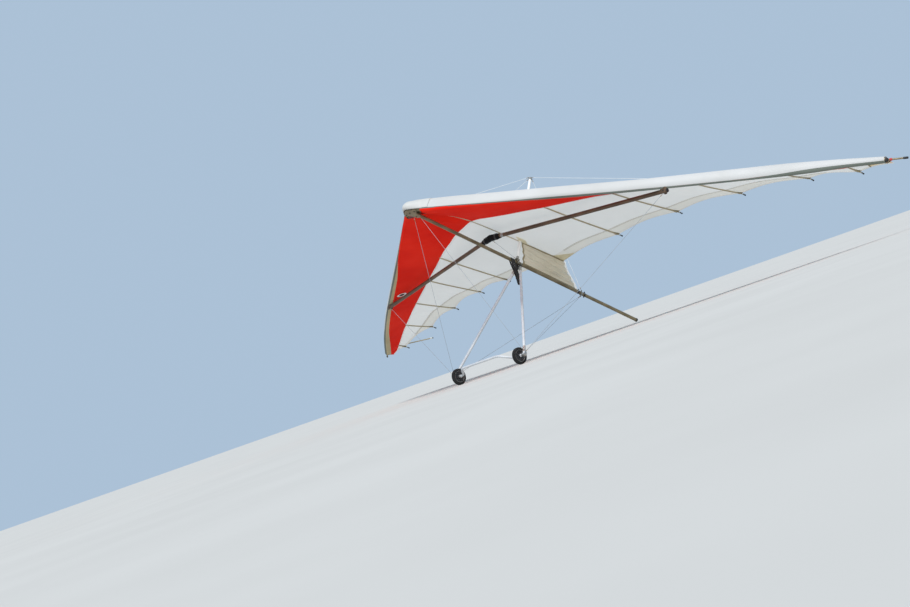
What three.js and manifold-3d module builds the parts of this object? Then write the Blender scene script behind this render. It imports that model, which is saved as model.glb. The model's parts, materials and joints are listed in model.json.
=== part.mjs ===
// A kingposted single-surface hang glider, parked nose-up on its two wheels and its keel end.
// Millimetres. Everything is drawn in the keel's own frame and then turned to the parked pose:
// the keel runs along Y with the nose at -Y, +Z is away from the control bar, +X is the left wing,
// and the frame's zero is on the keel tube's centre line above the control bar's apex.
import * as THREE from 'three';
import { mergeVertices } from 'three/addons/utils/BufferGeometryUtils.js';
import Module from 'manifold-3d';

const wasm = await Module();
wasm.setup();

// Seats and wall thicknesses
const gap = 0.3;
const clothThick = 4;
const runningGap = 0.6;

// Keel
const keelAhead = 1675;
const keelBehind = 1960;
const keelRadius = 21;
const keelNoseRadius = 25;
const keelNoseLength = 150;
const endCapLength = 26;
const capLip = 2;
const capBevel = 3;
const capFacets = 24;

// Leading edges: straight to the crossbar, then bent back and up by the sail
const sweep = THREE.MathUtils.degToRad(30.1);
const halfSpan = 4810;
const edgeSlope = 0.0575;
const tipLift = 88;
const tipBend = 150;
const edgeRadius = 25;
const edgeStart = 52;
const tipCapLength = 34;

// Crossbar
const junctionX = 2695;
const junctionDrop = 85;
const crossbarRadius = 24;
const crossbarCentre = new THREE.Vector3(0, -470, 145);
const padHalfLength = 165;
const padRadius = 46;

// Control frame
const apexHalfWidth = 45;
const apexDrop = 65;
const frameDrop = 1445;
const frameForward = 195;
const frameHalfWidth = 680;
const uprightRadius = 16;
const barRadius = 14;
const barReach = 140;
const knuckleFaceX = 645;
const barBend = { straightTo: 488, forwardFrom: 345, round: 45 };

// Wheels, each running on the straight end of the base bar
const wheelX = 588;
const wheelRadius = 100;
const tyreWidth = 42;
const tyreDepth = 30;
const hubHalfWidth = 28;
const hubRadius = 27;
const rimWebHalf = 7;
const collarHalf = 7;
const wheelSideGap = 5;

// Kingpost
const kingpostY = -30;
const kingpostHeight = 1190;
const kingpostRadius = 17;
const kingpostHole = 24;

// Rear tang and hang loops, on the keel
const tangY = 1010;
const loopTable = [
  // name, place along the keel, length below the keel
  { name: 'hang_loop_main', y: -92, length: 300 },
  { name: 'hang_loop_backup', y: -126, length: 325 },
];
const strap = { width: 26, thick: 4, eyeHalf: 15 };

// Sail: the points of the trailing edge are where the batten ends reach
const rootTrail = { y: 675, z: 318 };
const battenTable = [
  // batten end: out along the span, aft, up
  { x: 1085, y: 652, z: 338 },
  { x: 1908, y: 830, z: 459 },
  { x: 2742, y: 1010, z: 507 },
  { x: 3572, y: 1220, z: 512 },
  { x: 4257, y: 1256, z: 376 },
];
const tipTrail = { x: 4660, y: 1292, z: 368 };
const battenOverhang = 40;
const battenRadius = 6;
const scallop = 60;
const camberPeak = 0.37;
const camberPowers = { front: 1.4, rear: 1.25 };
const camberTable = [
  // out along the span, camber as a share of the chord
  { x: 0, value: 0.053 },
  { x: 420, value: 0.038 },
  { x: 1085, value: 0.018 },
  { x: 3572, value: 0.018 },
  { x: 4660, value: 0.03 },
];
const pocketTable = [
  // out along the span, depth of the leading-edge pocket behind the tube's centre
  { x: 0, value: 145 },
  { x: 1500, value: 165 },
  { x: 2900, value: 190 },
  { x: 3700, value: 165 },
  { x: 4150, value: 85 },
  { x: 4660, value: 58 },
];
const crownTable = [
  // out along the span, height of the pocket's top above the tube's centre
  { x: 0, value: 0 },
  { x: 150, value: 130 },
  { x: 420, value: 131 },
  { x: 760, value: 124 },
  { x: 1085, value: 118 },
  { x: 1500, value: 112 },
  { x: 2000, value: 99 },
  { x: 2500, value: 88 },
  { x: 3700, value: 90 },
  { x: 4200, value: 74 },
  { x: 4660, value: 42 },
];
const crownFade = 4.2;
const pocketWall = 3;
const pocketSeat = 1.1;
const pocketNose = 36;
const pocketLip = { share: 0.85, shallow: { depth: 58, up: -22 }, deep: { depth: 145, up: 20 } };
const noseOpening = 150;
const canopyNoseCut = 290;
const canopySteps = 9;

// Keel pocket, the fin of cloth from the sail's root seam down to the keel
const keelPocket = { topFront: -4, bottomFront: 62, bottomEnd: 922, thick: 5 };

// Washout struts: from the leading edge near the tip, back and up over the cloth to a free end
const strut = { x: 4475, radius: 8, seat: 23.4, end: { x: 4258, y: 1656, z: 682 } };
const strutHole = { clear: 3, length: 240 };

// Nose
const plateThick = 4;
const nosePlate = { front: 34, rear: 232, sideX: 140 };
const noseCone = { ahead: 58, sideAhead: 18, round: 60, thick: 4, overCloth: 10, overlap: -27 };
const coneOutline = [
  // behind the front, above the keel's centre line
  { behind: 210, up: 134 },
  { behind: 104, up: 127 },
  { behind: 60, up: 113 },
  { behind: 24, up: 72 },
  { behind: 6, up: 50 },
  { behind: 0, up: 34 },
];

const stayRadius = 2;
const upperStayHold = { behind: 30, up: 70 };

const paint = {
  // colour, roughness, metalness
  frameTube: [0x77705c, 0.45, 0.8],
  crossTube: [0x5b4c42, 0.45, 0.8],
  brightTube: [0xd8d9d6, 0.3, 0.9],
  fitting: [0x9b9b96, 0.4, 0.9],
  whiteTube: [0xe9e9e6, 0.4, 0.1],
  blackPlastic: [0x1c1c1d, 0.6, 0],
  greyPlastic: [0x4a4a4c, 0.6, 0],
  tyre: [0x161617, 0.8, 0],
  pad: [0x17171a, 0.9, 0],
  webbing: [0x121214, 0.9, 0],
  sail: [0xe8e7e2, 0.8, 0],
  edge: [0xf2f2f0, 0.6, 0],
  keelCloth: [0xbdb49a, 0.8, 0],
  batten: [0x9c8a6c, 0.5, 0.6],
  wire: [0xb8b8b4, 0.4, 0.9],
};

const keelFrame = new THREE.Group();
const X = new THREE.Vector3(1, 0, 0);
const Z = new THREE.Vector3(0, 0, 1);
const sides = [['left', 1], ['right', -1]];

function vec(x, y, z) {
  return new THREE.Vector3(x, y, z);
}

function addPiece(name, geometry, look) {
  const [color, roughness, metalness] = paint[look];
  const mesh = new THREE.Mesh(geometry, new THREE.MeshStandardMaterial({ color, roughness, metalness }));
  mesh.name = name;
  keelFrame.add(mesh);
  return mesh;
}

// A table's value at x, straight between its rows
function tableValue(table, x) {
  const last = table[table.length - 1];
  const next = table.findIndex((row) => row.x > x);
  if (next < 0) return last.value;
  if (next === 0) return table[0].value;
  const from = table[next - 1];
  const to = table[next];
  return THREE.MathUtils.mapLinear(x, from.x, to.x, from.value, to.value);
}

// Closed bodies from rings of points: the rings run along the body, and each ring runs round it
function solidFromQuads(points, triangles) {
  const geometry = new THREE.BufferGeometry();
  geometry.setAttribute('position', new THREE.Float32BufferAttribute(points.flatMap((p) => [p.x, p.y, p.z]), 3));
  geometry.setIndex(triangles);
  const volume = signedVolume(points, triangles);
  if (volume < 0) {
    for (let i = 0; i < triangles.length; i += 3) {
      [triangles[i], triangles[i + 1]] = [triangles[i + 1], triangles[i]];
    }
    geometry.setIndex(triangles);
  }
  geometry.computeVertexNormals();
  return geometry;
}

function signedVolume(points, triangles) {
  let volume = 0;
  for (let i = 0; i < triangles.length; i += 3) {
    const [a, b, c] = [points[triangles[i]], points[triangles[i + 1]], points[triangles[i + 2]]];
    volume += a.dot(b.clone().cross(c)) / 6;
  }
  return volume;
}

function pushQuad(triangles, a, b, c, d) {
  triangles.push(a, b, c, a, c, d);
}

// A solid bar: convex rings with a flat end at each end
function loft(rings) {
  const points = rings.flat();
  const n = rings[0].length;
  const triangles = [];
  for (let r = 0; r + 1 < rings.length; r += 1) {
    for (let i = 0; i < n; i += 1) {
      const j = (i + 1) % n;
      pushQuad(triangles, r * n + i, r * n + j, (r + 1) * n + j, (r + 1) * n + i);
    }
  }
  const end = (rings.length - 1) * n;
  for (let i = 1; i + 1 < n; i += 1) {
    triangles.push(0, i + 1, i);
    triangles.push(end, end + i, end + i + 1);
  }
  return solidFromQuads(points, triangles);
}

// A sleeve, open at both ends: outer and inner rings with the same number of points
function sleeve(outer, inner) {
  const n = outer[0].length;
  const count = outer.length;
  const points = [...outer.flat(), ...inner.flat()];
  const inside = count * n;
  const triangles = [];
  for (let r = 0; r + 1 < count; r += 1) {
    for (let i = 0; i < n; i += 1) {
      const j = (i + 1) % n;
      pushQuad(triangles, r * n + i, r * n + j, (r + 1) * n + j, (r + 1) * n + i);
      pushQuad(triangles, inside + r * n + j, inside + r * n + i, inside + (r + 1) * n + i, inside + (r + 1) * n + j);
    }
  }
  const end = (count - 1) * n;
  for (let i = 0; i < n; i += 1) {
    const j = (i + 1) % n;
    pushQuad(triangles, j, i, inside + i, inside + j);
    pushQuad(triangles, end + i, end + j, inside + end + j, inside + end + i);
  }
  return solidFromQuads(points, triangles);
}

// A sheet with thickness: rows of points on top, and the same rows shifted by the given offset below
function sheet(rows, offset) {
  const m = rows[0].length;
  const count = rows.length;
  const points = [...rows.flat(), ...rows.flat().map((p) => p.clone().add(offset))];
  const under = count * m;
  const triangles = [];
  for (let r = 0; r + 1 < count; r += 1) {
    for (let i = 0; i + 1 < m; i += 1) {
      const [a, b, c, d] = [r * m + i, r * m + i + 1, (r + 1) * m + i + 1, (r + 1) * m + i];
      pushQuad(triangles, a, b, c, d);
      pushQuad(triangles, under + b, under + a, under + d, under + c);
    }
  }
  const rim = [];
  for (let i = 0; i < m; i += 1) rim.push(i);
  for (let r = 1; r < count; r += 1) rim.push(r * m + m - 1);
  for (let i = m - 2; i >= 0; i -= 1) rim.push((count - 1) * m + i);
  for (let r = count - 2; r >= 1; r -= 1) rim.push(r * m);
  rim.forEach((a, k) => {
    const b = rim[(k + 1) % rim.length];
    pushQuad(triangles, b, a, under + a, under + b);
  });
  return solidFromQuads(points, triangles);
}

// A ribbon that closes on itself: each ring is one cross-section of it
function hoop(rings) {
  const n = rings[0].length;
  const triangles = [];
  rings.forEach((ring, r) => {
    const next = (r + 1) % rings.length;
    for (let i = 0; i < n; i += 1) {
      const j = (i + 1) % n;
      pushQuad(triangles, r * n + i, r * n + j, next * n + j, next * n + i);
    }
  });
  return solidFromQuads(rings.flat(), triangles);
}

// Joining and cutting solids
function toManifold(geometry) {
  const bare = geometry.clone();
  bare.deleteAttribute('normal');
  bare.deleteAttribute('uv');
  const merged = mergeVertices(bare, 1e-4);
  const mesh = new wasm.Mesh({
    numProp: 3,
    vertProperties: new Float32Array(merged.attributes.position.array),
    triVerts: new Uint32Array(merged.index.array),
  });
  return new wasm.Manifold(mesh);
}

function fromManifold(solid) {
  const mesh = solid.getMesh();
  const geometry = new THREE.BufferGeometry();
  geometry.setAttribute('position', new THREE.Float32BufferAttribute(mesh.vertProperties, 3));
  geometry.setIndex([...mesh.triVerts]);
  geometry.computeVertexNormals();
  return geometry;
}

function cut(geometry, ...tools) {
  return fromManifold(tools.reduce((rest, tool) => rest.subtract(toManifold(tool)), toManifold(geometry)));
}

function joined(...geometries) {
  return fromManifold(geometries.map(toManifold).reduce((all, one) => all.add(one)));
}

// A round bar between two points
function bar(name, from, to, radius, look, facets = 16) {
  const length = from.distanceTo(to);
  const geometry = new THREE.CylinderGeometry(radius, radius, length, facets);
  const mesh = addPiece(name, geometry, look);
  mesh.position.copy(from).lerp(to, 0.5);
  mesh.quaternion.setFromUnitVectors(vec(0, 1, 0), to.clone().sub(from).normalize());
  return mesh;
}

// A flat outline in the plane of two directions, given thickness across them
function plateGeometry(outline, across, up, thick) {
  const geometry = new THREE.ExtrudeGeometry(new THREE.Shape(outline), { depth: thick, bevelEnabled: false });
  geometry.translate(0, 0, -thick / 2);
  const normal = across.clone().cross(up).normalize();
  geometry.applyMatrix4(new THREE.Matrix4().makeBasis(across, up, normal));
  return geometry;
}

function points2(...pairs) {
  return pairs.map(([a, b]) => new THREE.Vector2(a, b));
}

// Leading edge centre line, left wing
function edgeAt(x) {
  const past = Math.max(0, (x - junctionX) / (halfSpan - junctionX));
  const y = -keelAhead + x * Math.tan(sweep) + tipBend * past * past;
  return { y, z: edgeSlope * x + tipLift * past * past };
}

function edgePoint(x, side) {
  const { y, z } = edgeAt(x);
  return vec(side * x, y, z);
}

// Trailing edge of the cloth, hollowed between the battens
const trailTable = [
  { x: 0, ...rootTrail },
  ...battenTable.map(({ x, y, z }) => ({ x, y: y - battenOverhang, z: z - battenOverhang / 6 })),
  tipTrail,
];

function trailAt(x) {
  const next = Math.max(1, trailTable.findIndex((row) => row.x >= x - 1e-6));
  const from = trailTable[next - 1];
  const to = trailTable[next];
  const t = (x - from.x) / (to.x - from.x);
  const hollow = (scallop * 4 * t * (1 - t) * (to.x - from.x)) / 1000;
  const y = THREE.MathUtils.lerp(from.y, to.y, t) - hollow;
  return { y, z: THREE.MathUtils.lerp(from.z, to.z, t) };
}

// The camber's shape along the chord: up to its peak as a sine, then down to the trailing edge
function camberShape(u) {
  if (u < camberPeak) return Math.sin((Math.PI / 2) * (u / camberPeak)) ** camberPowers.front;
  return 1 - ((u - camberPeak) / (1 - camberPeak)) ** camberPowers.rear;
}

// Height of the cloth at x and y: from the top of the leading-edge pocket to the trailing edge
function clothZ(x, y) {
  const edge = edgeAt(x);
  const trail = trailAt(x);
  const chord = trail.y - edge.y;
  const u = THREE.MathUtils.clamp((y - edge.y) / chord, 0, 1);
  const crown = tableValue(crownTable, x) * (1 - u) ** crownFade;
  return THREE.MathUtils.lerp(edge.z, trail.z, u) + tableValue(camberTable, x) * chord * camberShape(u) + crown;
}

function clothFront(x) {
  const behindNose = -keelAhead + canopyNoseCut;
  if (x < noseOpening) return THREE.MathUtils.lerp(behindNose, pocketRear(noseOpening) + gap, x / noseOpening);
  return pocketRear(x) + gap;
}

function pocketRear(x) {
  return edgeAt(x).y + tableValue(pocketTable, x);
}

// Stations along the span: the battens, the middles between them, and the tip
const battenStations = battenTable.map((row) => row.x);
const middles = battenStations.slice(1).map((x, i) => (x + battenStations[i]) / 2);
const tipMiddle = (battenStations[4] + tipTrail.x) / 2;
const inboard = [noseOpening, 420, 760];
const pocketStations = [...inboard, ...battenStations, ...middles, tipMiddle, tipTrail.x].sort((a, b) => a - b);

function buildKeel() {
  const profile = points2(
    [0, -keelAhead + gap],
    [keelNoseRadius, -keelAhead + gap],
    [keelNoseRadius, -keelAhead + keelNoseLength],
    [keelRadius, -keelAhead + keelNoseLength + 6],
    [keelRadius, keelBehind - endCapLength - gap],
    [0, keelBehind - endCapLength - gap],
  );
  addPiece('keel_tube', new THREE.LatheGeometry(profile, 24), 'frameTube');
  const capProfile = points2(
    [0, keelBehind - endCapLength],
    [keelRadius + capLip, keelBehind - endCapLength],
    [keelRadius + capLip, keelBehind - capBevel],
    [keelRadius - 1, keelBehind],
    [0, keelBehind],
  );
  const cap = addPiece('keel_end_cap', new THREE.LatheGeometry(capProfile, capFacets), 'blackPlastic');
  cap.rotation.y = Math.PI / capFacets;
}

// A round section of a leading edge in the plane across X
function edgeRing(x, side, radius, facets) {
  const centre = edgePoint(x, side);
  const wide = radius / Math.cos(sweep);
  return Array.from({ length: facets }, (unused, i) => {
    const angle = (i / facets) * 2 * Math.PI;
    return vec(centre.x, centre.y + wide * Math.cos(angle), centre.z + radius * Math.sin(angle));
  });
}

function buildLeadingEdge(label, side) {
  const outer = pocketStations.filter((x) => x > junctionX);
  const stations = [edgeStart, junctionX, ...outer, halfSpan];
  addPiece(`leading_edge_tube_${label}`, loft(stations.map((x) => edgeRing(x, side, edgeRadius, 16))), 'frameTube');
  const capStations = [halfSpan + gap, halfSpan + tipCapLength];
  const capRings = capStations.map((x) => edgeRing(x, side, edgeRadius + 2, 16));
  addPiece(`leading_edge_cap_${label}`, loft(capRings), 'blackPlastic');
}

// The pocket's section behind the nose of the leading edge, as offsets from the tube's centre
function pocketSection(x, inset) {
  const edge = edgeAt(x);
  const depth = tableValue(pocketTable, x);
  const rearTop = clothZ(x, edge.y + depth) - edge.z;
  const crown = tableValue(crownTable, x) - inset;
  const rise = pocketNose - inset;
  const reach = rise / Math.cos(sweep);
  const back = (pocketNose - pocketWall - edgeRadius - pocketSeat) / Math.cos(sweep);
  const section = [[depth - 2 * inset, rearTop - 1.5 * inset]];
  for (let i = 0; i <= 6; i += 1) {
    const angle = Math.PI / 2 + (i * Math.PI) / 6;
    const height = i < 3 ? crown : rise;
    section.push([back + reach * Math.cos(angle), height * Math.sin(angle)]);
  }
  section.push([pocketLip.share * depth - inset, lipHeight(depth) + inset]);
  section.push([depth - 2 * inset, rearTop - 9 + inset]);
  return section;
}

// The lower rear edge of the pocket lies higher where the pocket is deep
function lipHeight(depth) {
  const { shallow, deep } = pocketLip;
  const share = THREE.MathUtils.clamp((depth - shallow.depth) / (deep.depth - shallow.depth), 0, 1);
  return THREE.MathUtils.lerp(shallow.up, deep.up, share);
}

function pocketRing(x, side, inset) {
  const edge = edgeAt(x);
  return pocketSection(x, inset).map(([dy, dz]) => vec(side * x, edge.y + dy, edge.z + dz));
}

function junctionFrame(side) {
  const along = edgePoint(junctionX, side).sub(edgePoint(0, side)).normalize();
  const start = crossbarCentre.clone();
  const reach = edgePoint(junctionX, side).sub(start);
  const apart = reach.clone().addScaledVector(along, -reach.dot(along));
  const flat = apart.clone().normalize();
  const up = along.clone().cross(flat);
  if (up.z < 0) up.negate();
  const share = junctionDrop / apart.length();
  const normal = flat.multiplyScalar(share).addScaledVector(up, Math.sqrt(1 - share * share));
  const tubeEnd = edgePoint(junctionX, side).addScaledVector(normal, -junctionDrop);
  const direction = tubeEnd.clone().sub(start).normalize();
  return { along, normal, tubeEnd, direction };
}

function buildPocket(label, side) {
  const outer = pocketStations.map((x) => pocketRing(x === noseOpening ? x + gap : x, side, 0));
  const inner = pocketStations.map((x) => pocketRing(x === noseOpening ? x + gap : x, side, pocketWall));
  const { normal, direction, tubeEnd } = junctionFrame(side);
  const window = new THREE.BoxGeometry(190, 150, 110);
  const across = normal.clone().cross(direction).normalize();
  window.applyMatrix4(new THREE.Matrix4().makeBasis(direction, across, normal));
  const drop = tubeEnd.clone().addScaledVector(normal, junctionDrop - edgeRadius - 55);
  window.translate(drop.x, drop.y, drop.z);
  return addPiece(`leading_edge_pocket_${label}`, cut(sleeve(outer, inner), window, strutPassage(side)), 'edge');
}

// The washout strut's line, from its seat on the leading edge to its free end
function strutLine(side) {
  const end = vec(side * strut.end.x, strut.end.y, strut.end.z);
  const root = edgePoint(strut.x, side);
  const along = edgePoint(strut.x + 1, side).sub(root).normalize();
  const direction = end.clone().sub(root).normalize();
  const lean = Math.abs(along.dot(direction));
  const clear = (strut.seat + gap + strut.radius * lean) / Math.sqrt(1 - lean * lean);
  return { start: root.addScaledVector(direction, clear), end };
}

// The hole in the cloth where the washout strut comes through
function strutPassage(side) {
  const { start, end } = strutLine(side);
  const hole = new THREE.CylinderGeometry(1, 1, strutHole.length, 12);
  hole.scale(strut.radius + strutHole.clear, 1, strut.radius + strutHole.clear);
  hole.applyQuaternion(new THREE.Quaternion().setFromUnitVectors(vec(0, 1, 0), end.sub(start).normalize()));
  return hole.translate(start.x, start.y, start.z);
}

function canopyRow(x, side) {
  const front = clothFront(x);
  const rear = trailAt(x).y;
  return Array.from({ length: canopySteps + 1 }, (unused, i) => {
    const y = THREE.MathUtils.lerp(front, rear, i / canopySteps);
    return vec(side * Math.max(x, gap / 2), y, clothZ(x, y));
  });
}

function buildSail(label, side) {
  const rows = [0, ...pocketStations].map((x) => canopyRow(x, side));
  const hole = new THREE.CylinderGeometry(kingpostHole, kingpostHole, 200, 24);
  hole.rotateX(Math.PI / 2);
  hole.translate(0, kingpostY, clothZ(0, kingpostY));
  addPiece(`sail_${label}`, cut(sheet(rows, vec(0, 0, -clothThick)), hole, strutPassage(side)), 'sail');
}

function buildBatten(label, side, row, number) {
  const start = clothFront(row.x) + 12;
  const end = trailAt(row.x).y;
  const lower = clothThick + battenRadius + 2 * gap;
  const line = Array.from({ length: canopySteps + 1 }, (unused, i) => {
    const front = clothFront(row.x);
    const y = i === 0 ? start : THREE.MathUtils.lerp(front, end, i / canopySteps);
    return vec(side * row.x, y, clothZ(row.x, y) - lower);
  });
  line.push(vec(side * row.x, row.y, row.z - lower + battenRadius));
  const rings = line.map((p) => Array.from({ length: 8 }, (unused, i) => {
    const angle = ((i + 0.5) / 8) * 2 * Math.PI;
    return vec(p.x + battenRadius * Math.cos(angle), p.y, p.z + battenRadius * 1.06 * Math.sin(angle));
  }));
  addPiece(`batten_${label}_${number}`, loft(rings), 'batten');
}

function buildStrut(label, side) {
  const { start, end } = strutLine(side);
  bar(`washout_strut_${label}`, start, end, strut.radius, 'batten', 12);
}

function buildKeelPocket() {
  const bottom = keelRadius + gap;
  const under = clothThick + gap;
  const rootYs = [];
  for (let i = 0; i <= canopySteps; i += 1) {
    const y = THREE.MathUtils.lerp(clothFront(0), trailAt(0).y, i / canopySteps);
    if (y > keelPocket.topFront && y < rootTrail.y - 1) rootYs.push(y);
  }
  const root = [rootTrail.y - 6, ...rootYs.reverse(), keelPocket.topFront].map((y) => [y, clothLine(y) - under]);
  const outline = points2([keelPocket.bottomFront, bottom], [keelPocket.bottomEnd, bottom], ...root);
  const geometry = plateGeometry(outline, vec(0, 1, 0), Z, keelPocket.thick);
  addPiece('keel_pocket', geometry, 'keelCloth');
}

// The root seam as the facets of the sail draw it
function clothLine(y) {
  const front = clothFront(0);
  const rear = trailAt(0).y;
  const step = (rear - front) / canopySteps;
  const i = Math.min(canopySteps - 1, Math.floor((y - front) / step));
  const [y0, y1] = [front + i * step, front + (i + 1) * step];
  return THREE.MathUtils.mapLinear(y, y0, y1, clothZ(0, y0), clothZ(0, y1));
}

function buildCrossbar(label, side) {
  const { tubeEnd, direction } = junctionFrame(side);
  const start = crossbarCentre.clone().addScaledVector(direction, 18);
  return bar(`crossbar_${label}`, start, tubeEnd.clone().addScaledVector(direction, 22), crossbarRadius, 'crossTube');
}

function buildJunction(label, side) {
  const { normal, tubeEnd, direction } = junctionFrame(side);
  const across = direction.clone().cross(normal).normalize();
  const half = crossbarRadius + gap;
  const wall = 4;
  const top = junctionDrop - edgeRadius - gap;
  const outline = points2(
    [-half - wall, -crossbarRadius - 6],
    [-half, -crossbarRadius - 6],
    [-half, top - wall],
    [half, top - wall],
    [half, -crossbarRadius - 6],
    [half + wall, -crossbarRadius - 6],
    [half + wall, top],
    [-half - wall, top],
  );
  const geometry = plateGeometry(outline, across, normal, 96);
  const bracket = addPiece(`junction_bracket_${label}`, geometry, 'fitting');
  bracket.position.copy(tubeEnd).addScaledVector(direction, -18);
}

function buildPad() {
  const steps = [-1, -0.82, -0.45, 0, 0.45, 0.82, 1];
  const swell = [0.74, 0.95, 1, 0.97, 1, 0.95, 0.74];
  const facets = 16;
  const right = junctionFrame(-1).direction;
  const left = junctionFrame(1).direction;
  const ring = (t, radius) => Array.from({ length: facets }, (unused, i) => {
    const angle = (i / facets) * 2 * Math.PI;
    const direction = t < 0 ? right : left;
    const centre = crossbarCentre.clone().addScaledVector(direction, Math.abs(t) * padHalfLength);
    return centre.add(vec(0, radius * Math.cos(angle), radius * Math.sin(angle)));
  });
  const outer = steps.map((t, i) => ring(t, padRadius * swell[i]));
  const bore = (crossbarRadius * 1.02 + gap) / Math.cos(Math.PI / facets);
  const inner = steps.map((t) => ring(t, bore));
  return addPiece('crossbar_pad', sleeve(outer, inner), 'pad');
}

// Nose plates, folded along the middle so that they lie along both leading edges
function foldedPlate(height) {
  const front = -keelAhead - nosePlate.front;
  const rear = -keelAhead + nosePlate.rear;
  const sideFront = -keelAhead + nosePlate.sideX * Math.tan(sweep) - 44;
  const sideRear = sideFront + 96;
  const rows = [-1, -0.25, 0, 0.25, 1].map((t) => {
    const x = t * nosePlate.sideX;
    const share = Math.max(0, (Math.abs(t) - 0.25) / 0.75);
    const from = THREE.MathUtils.lerp(front, sideFront, share);
    const to = THREE.MathUtils.lerp(rear, sideRear, share);
    return [vec(x, from, height + edgeSlope * Math.abs(x)), vec(x, to, height + edgeSlope * Math.abs(x))];
  });
  return sheet(rows, vec(0, 0, -plateThick));
}

function buildNose() {
  const clear = edgeRadius / Math.cos(Math.atan(edgeSlope)) + gap;
  const upper = addPiece('nose_plate_upper', foldedPlate(clear + plateThick), 'fitting');
  const lower = addPiece('nose_plate_lower', foldedPlate(-clear), 'fitting');
  buildNoseCone();
  return { upper, lower };
}

// The nose cone: a thin shell from the front of the nose plates back over the front of the cloth
function buildNoseCone() {
  const xs = [-150, -110, -70, -35, 0, 35, 70, 110, 150];
  const middleFront = -keelAhead - nosePlate.front - noseCone.ahead;
  const sideFront = edgeAt(noseOpening).y - pocketNose / Math.cos(sweep) - noseCone.sideAhead;
  const pull = (sideFront - middleFront) / (Math.hypot(noseOpening, noseCone.round) - noseCone.round);
  const rearY = -keelAhead + canopyNoseCut + noseCone.overlap;
  const rings = xs.map((x) => {
    const out = Math.abs(x);
    const front = middleFront + (Math.hypot(x, noseCone.round) - noseCone.round) * pull;
    const overCloth = (y, up) => Math.max(up, clothZ(out, y) + noseCone.overCloth);
    const outline = coneOutline.map(({ behind, up }, i) => {
      const y = front + behind;
      return new THREE.Vector2(y, i < 2 ? overCloth(y, up) : up);
    });
    outline.unshift(new THREE.Vector2(rearY, overCloth(rearY, coneOutline[0].up + 4)));
    return [...outline, ...offsetLine(outline, noseCone.thick).reverse()].map((p) => vec(x, p.x, p.y));
  });
  addPiece('nose_cone', ribbonLoft(rings), 'edge');
}

// An open line of points moved sideways by a distance, to its left as it runs
function offsetLine(line, distance) {
  return line.map((point, i) => {
    const before = line[Math.max(0, i - 1)];
    const after = line[Math.min(line.length - 1, i + 1)];
    const along = after.clone().sub(before).normalize();
    return new THREE.Vector2(point.x - distance * along.y, point.y + distance * along.x);
  });
}

// A bent strip: each ring is the strip's outline, out along one face and back along the other
function ribbonLoft(rings) {
  const n = rings[0].length;
  const half = n / 2;
  const triangles = [];
  for (let r = 0; r + 1 < rings.length; r += 1) {
    for (let i = 0; i < n; i += 1) {
      const j = (i + 1) % n;
      pushQuad(triangles, r * n + i, r * n + j, (r + 1) * n + j, (r + 1) * n + i);
    }
  }
  const end = (rings.length - 1) * n;
  for (let i = 0; i + 1 < half; i += 1) {
    const [a, b, c, d] = [i, i + 1, n - 2 - i, n - 1 - i];
    pushQuad(triangles, b, a, d, c);
    pushQuad(triangles, end + a, end + b, end + c, end + d);
  }
  return solidFromQuads(rings.flat(), triangles);
}

// Control frame: both uprights lie in one plane with the ends of the base bar
const framePlaneUp = vec(0, frameForward, frameDrop - apexDrop).normalize();
const framePlaneNormal = X.clone().cross(framePlaneUp);

function cornerPoint(side) {
  return vec(side * frameHalfWidth, -frameForward, -frameDrop);
}

function uprightTop(side) {
  return vec(side * apexHalfWidth, 0, -apexDrop);
}

function buildUpright(label, side) {
  const corner = cornerPoint(side);
  const top = uprightTop(side);
  const along = top.clone().sub(corner).normalize();
  bar(`upright_${label}`, corner.clone().addScaledVector(along, 55 + gap), top, uprightRadius, 'brightTube');
}

function buildCorner(label, side) {
  const along = uprightTop(1).sub(cornerPoint(1)).normalize();
  const lean = new THREE.Vector2(along.x, along.dot(framePlaneUp)).normalize();
  const inward = new THREE.Vector2(-lean.y, lean.x);
  const face = knuckleFaceX - frameHalfWidth;
  const topIn = lean.clone().multiplyScalar(55).addScaledVector(inward, 20);
  const topOut = lean.clone().multiplyScalar(55).addScaledVector(inward, -20);
  const outline = [
    [face, -20],
    [14, -20],
    [24, -6],
    [topOut.x, topOut.y],
    [topIn.x, topIn.y],
    [face, 20],
  ].map(([a, b]) => new THREE.Vector2(side * a, b));
  const geometry = plateGeometry(outline, X, framePlaneUp, 38);
  const knuckle = addPiece(`corner_knuckle_${label}`, geometry, 'fitting');
  knuckle.position.copy(cornerPoint(side));
  return knuckle;
}

function buildApex() {
  const half = keelRadius + gap;
  const wall = 4;
  const channel = points2(
    [-half - wall, -half - wall],
    [half + wall, -half - wall],
    [half + wall, 10],
    [half, 10],
    [half, -half],
    [-half, -half],
    [-half, 10],
    [-half - wall, 10],
  );
  addPiece('apex_channel', plateGeometry(channel, X, Z, 84), 'fitting');
  const along = uprightTop(1).sub(cornerPoint(1)).normalize();
  const lean = new THREE.Vector2(along.x, along.dot(framePlaneUp)).normalize();
  const outward = new THREE.Vector2(lean.y, -lean.x);
  const outer = new THREE.Vector2(apexHalfWidth, 0).addScaledVector(lean, gap).addScaledVector(outward, 19);
  const inner = new THREE.Vector2(apexHalfWidth, 0).addScaledVector(lean, gap).addScaledVector(outward, -19);
  const top = apexDrop + 20;
  const outline = points2(
    [-inner.x, inner.y],
    [inner.x, inner.y],
    [outer.x, outer.y],
    [outer.x - 8, outer.y + 14],
    [half + wall - 2, top],
    [-half - wall + 2, top],
    [-outer.x + 8, outer.y + 14],
    [-outer.x, outer.y],
  );
  const block = plateGeometry(outline, X, framePlaneUp, 40);
  block.translate(0, 0, -apexDrop);
  const trim = new THREE.BoxGeometry(200, 200, 200);
  trim.translate(0, 0, 100 - half - wall - gap);
  return addPiece('apex_knuckle', cut(block, trim), 'fitting');
}

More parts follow.
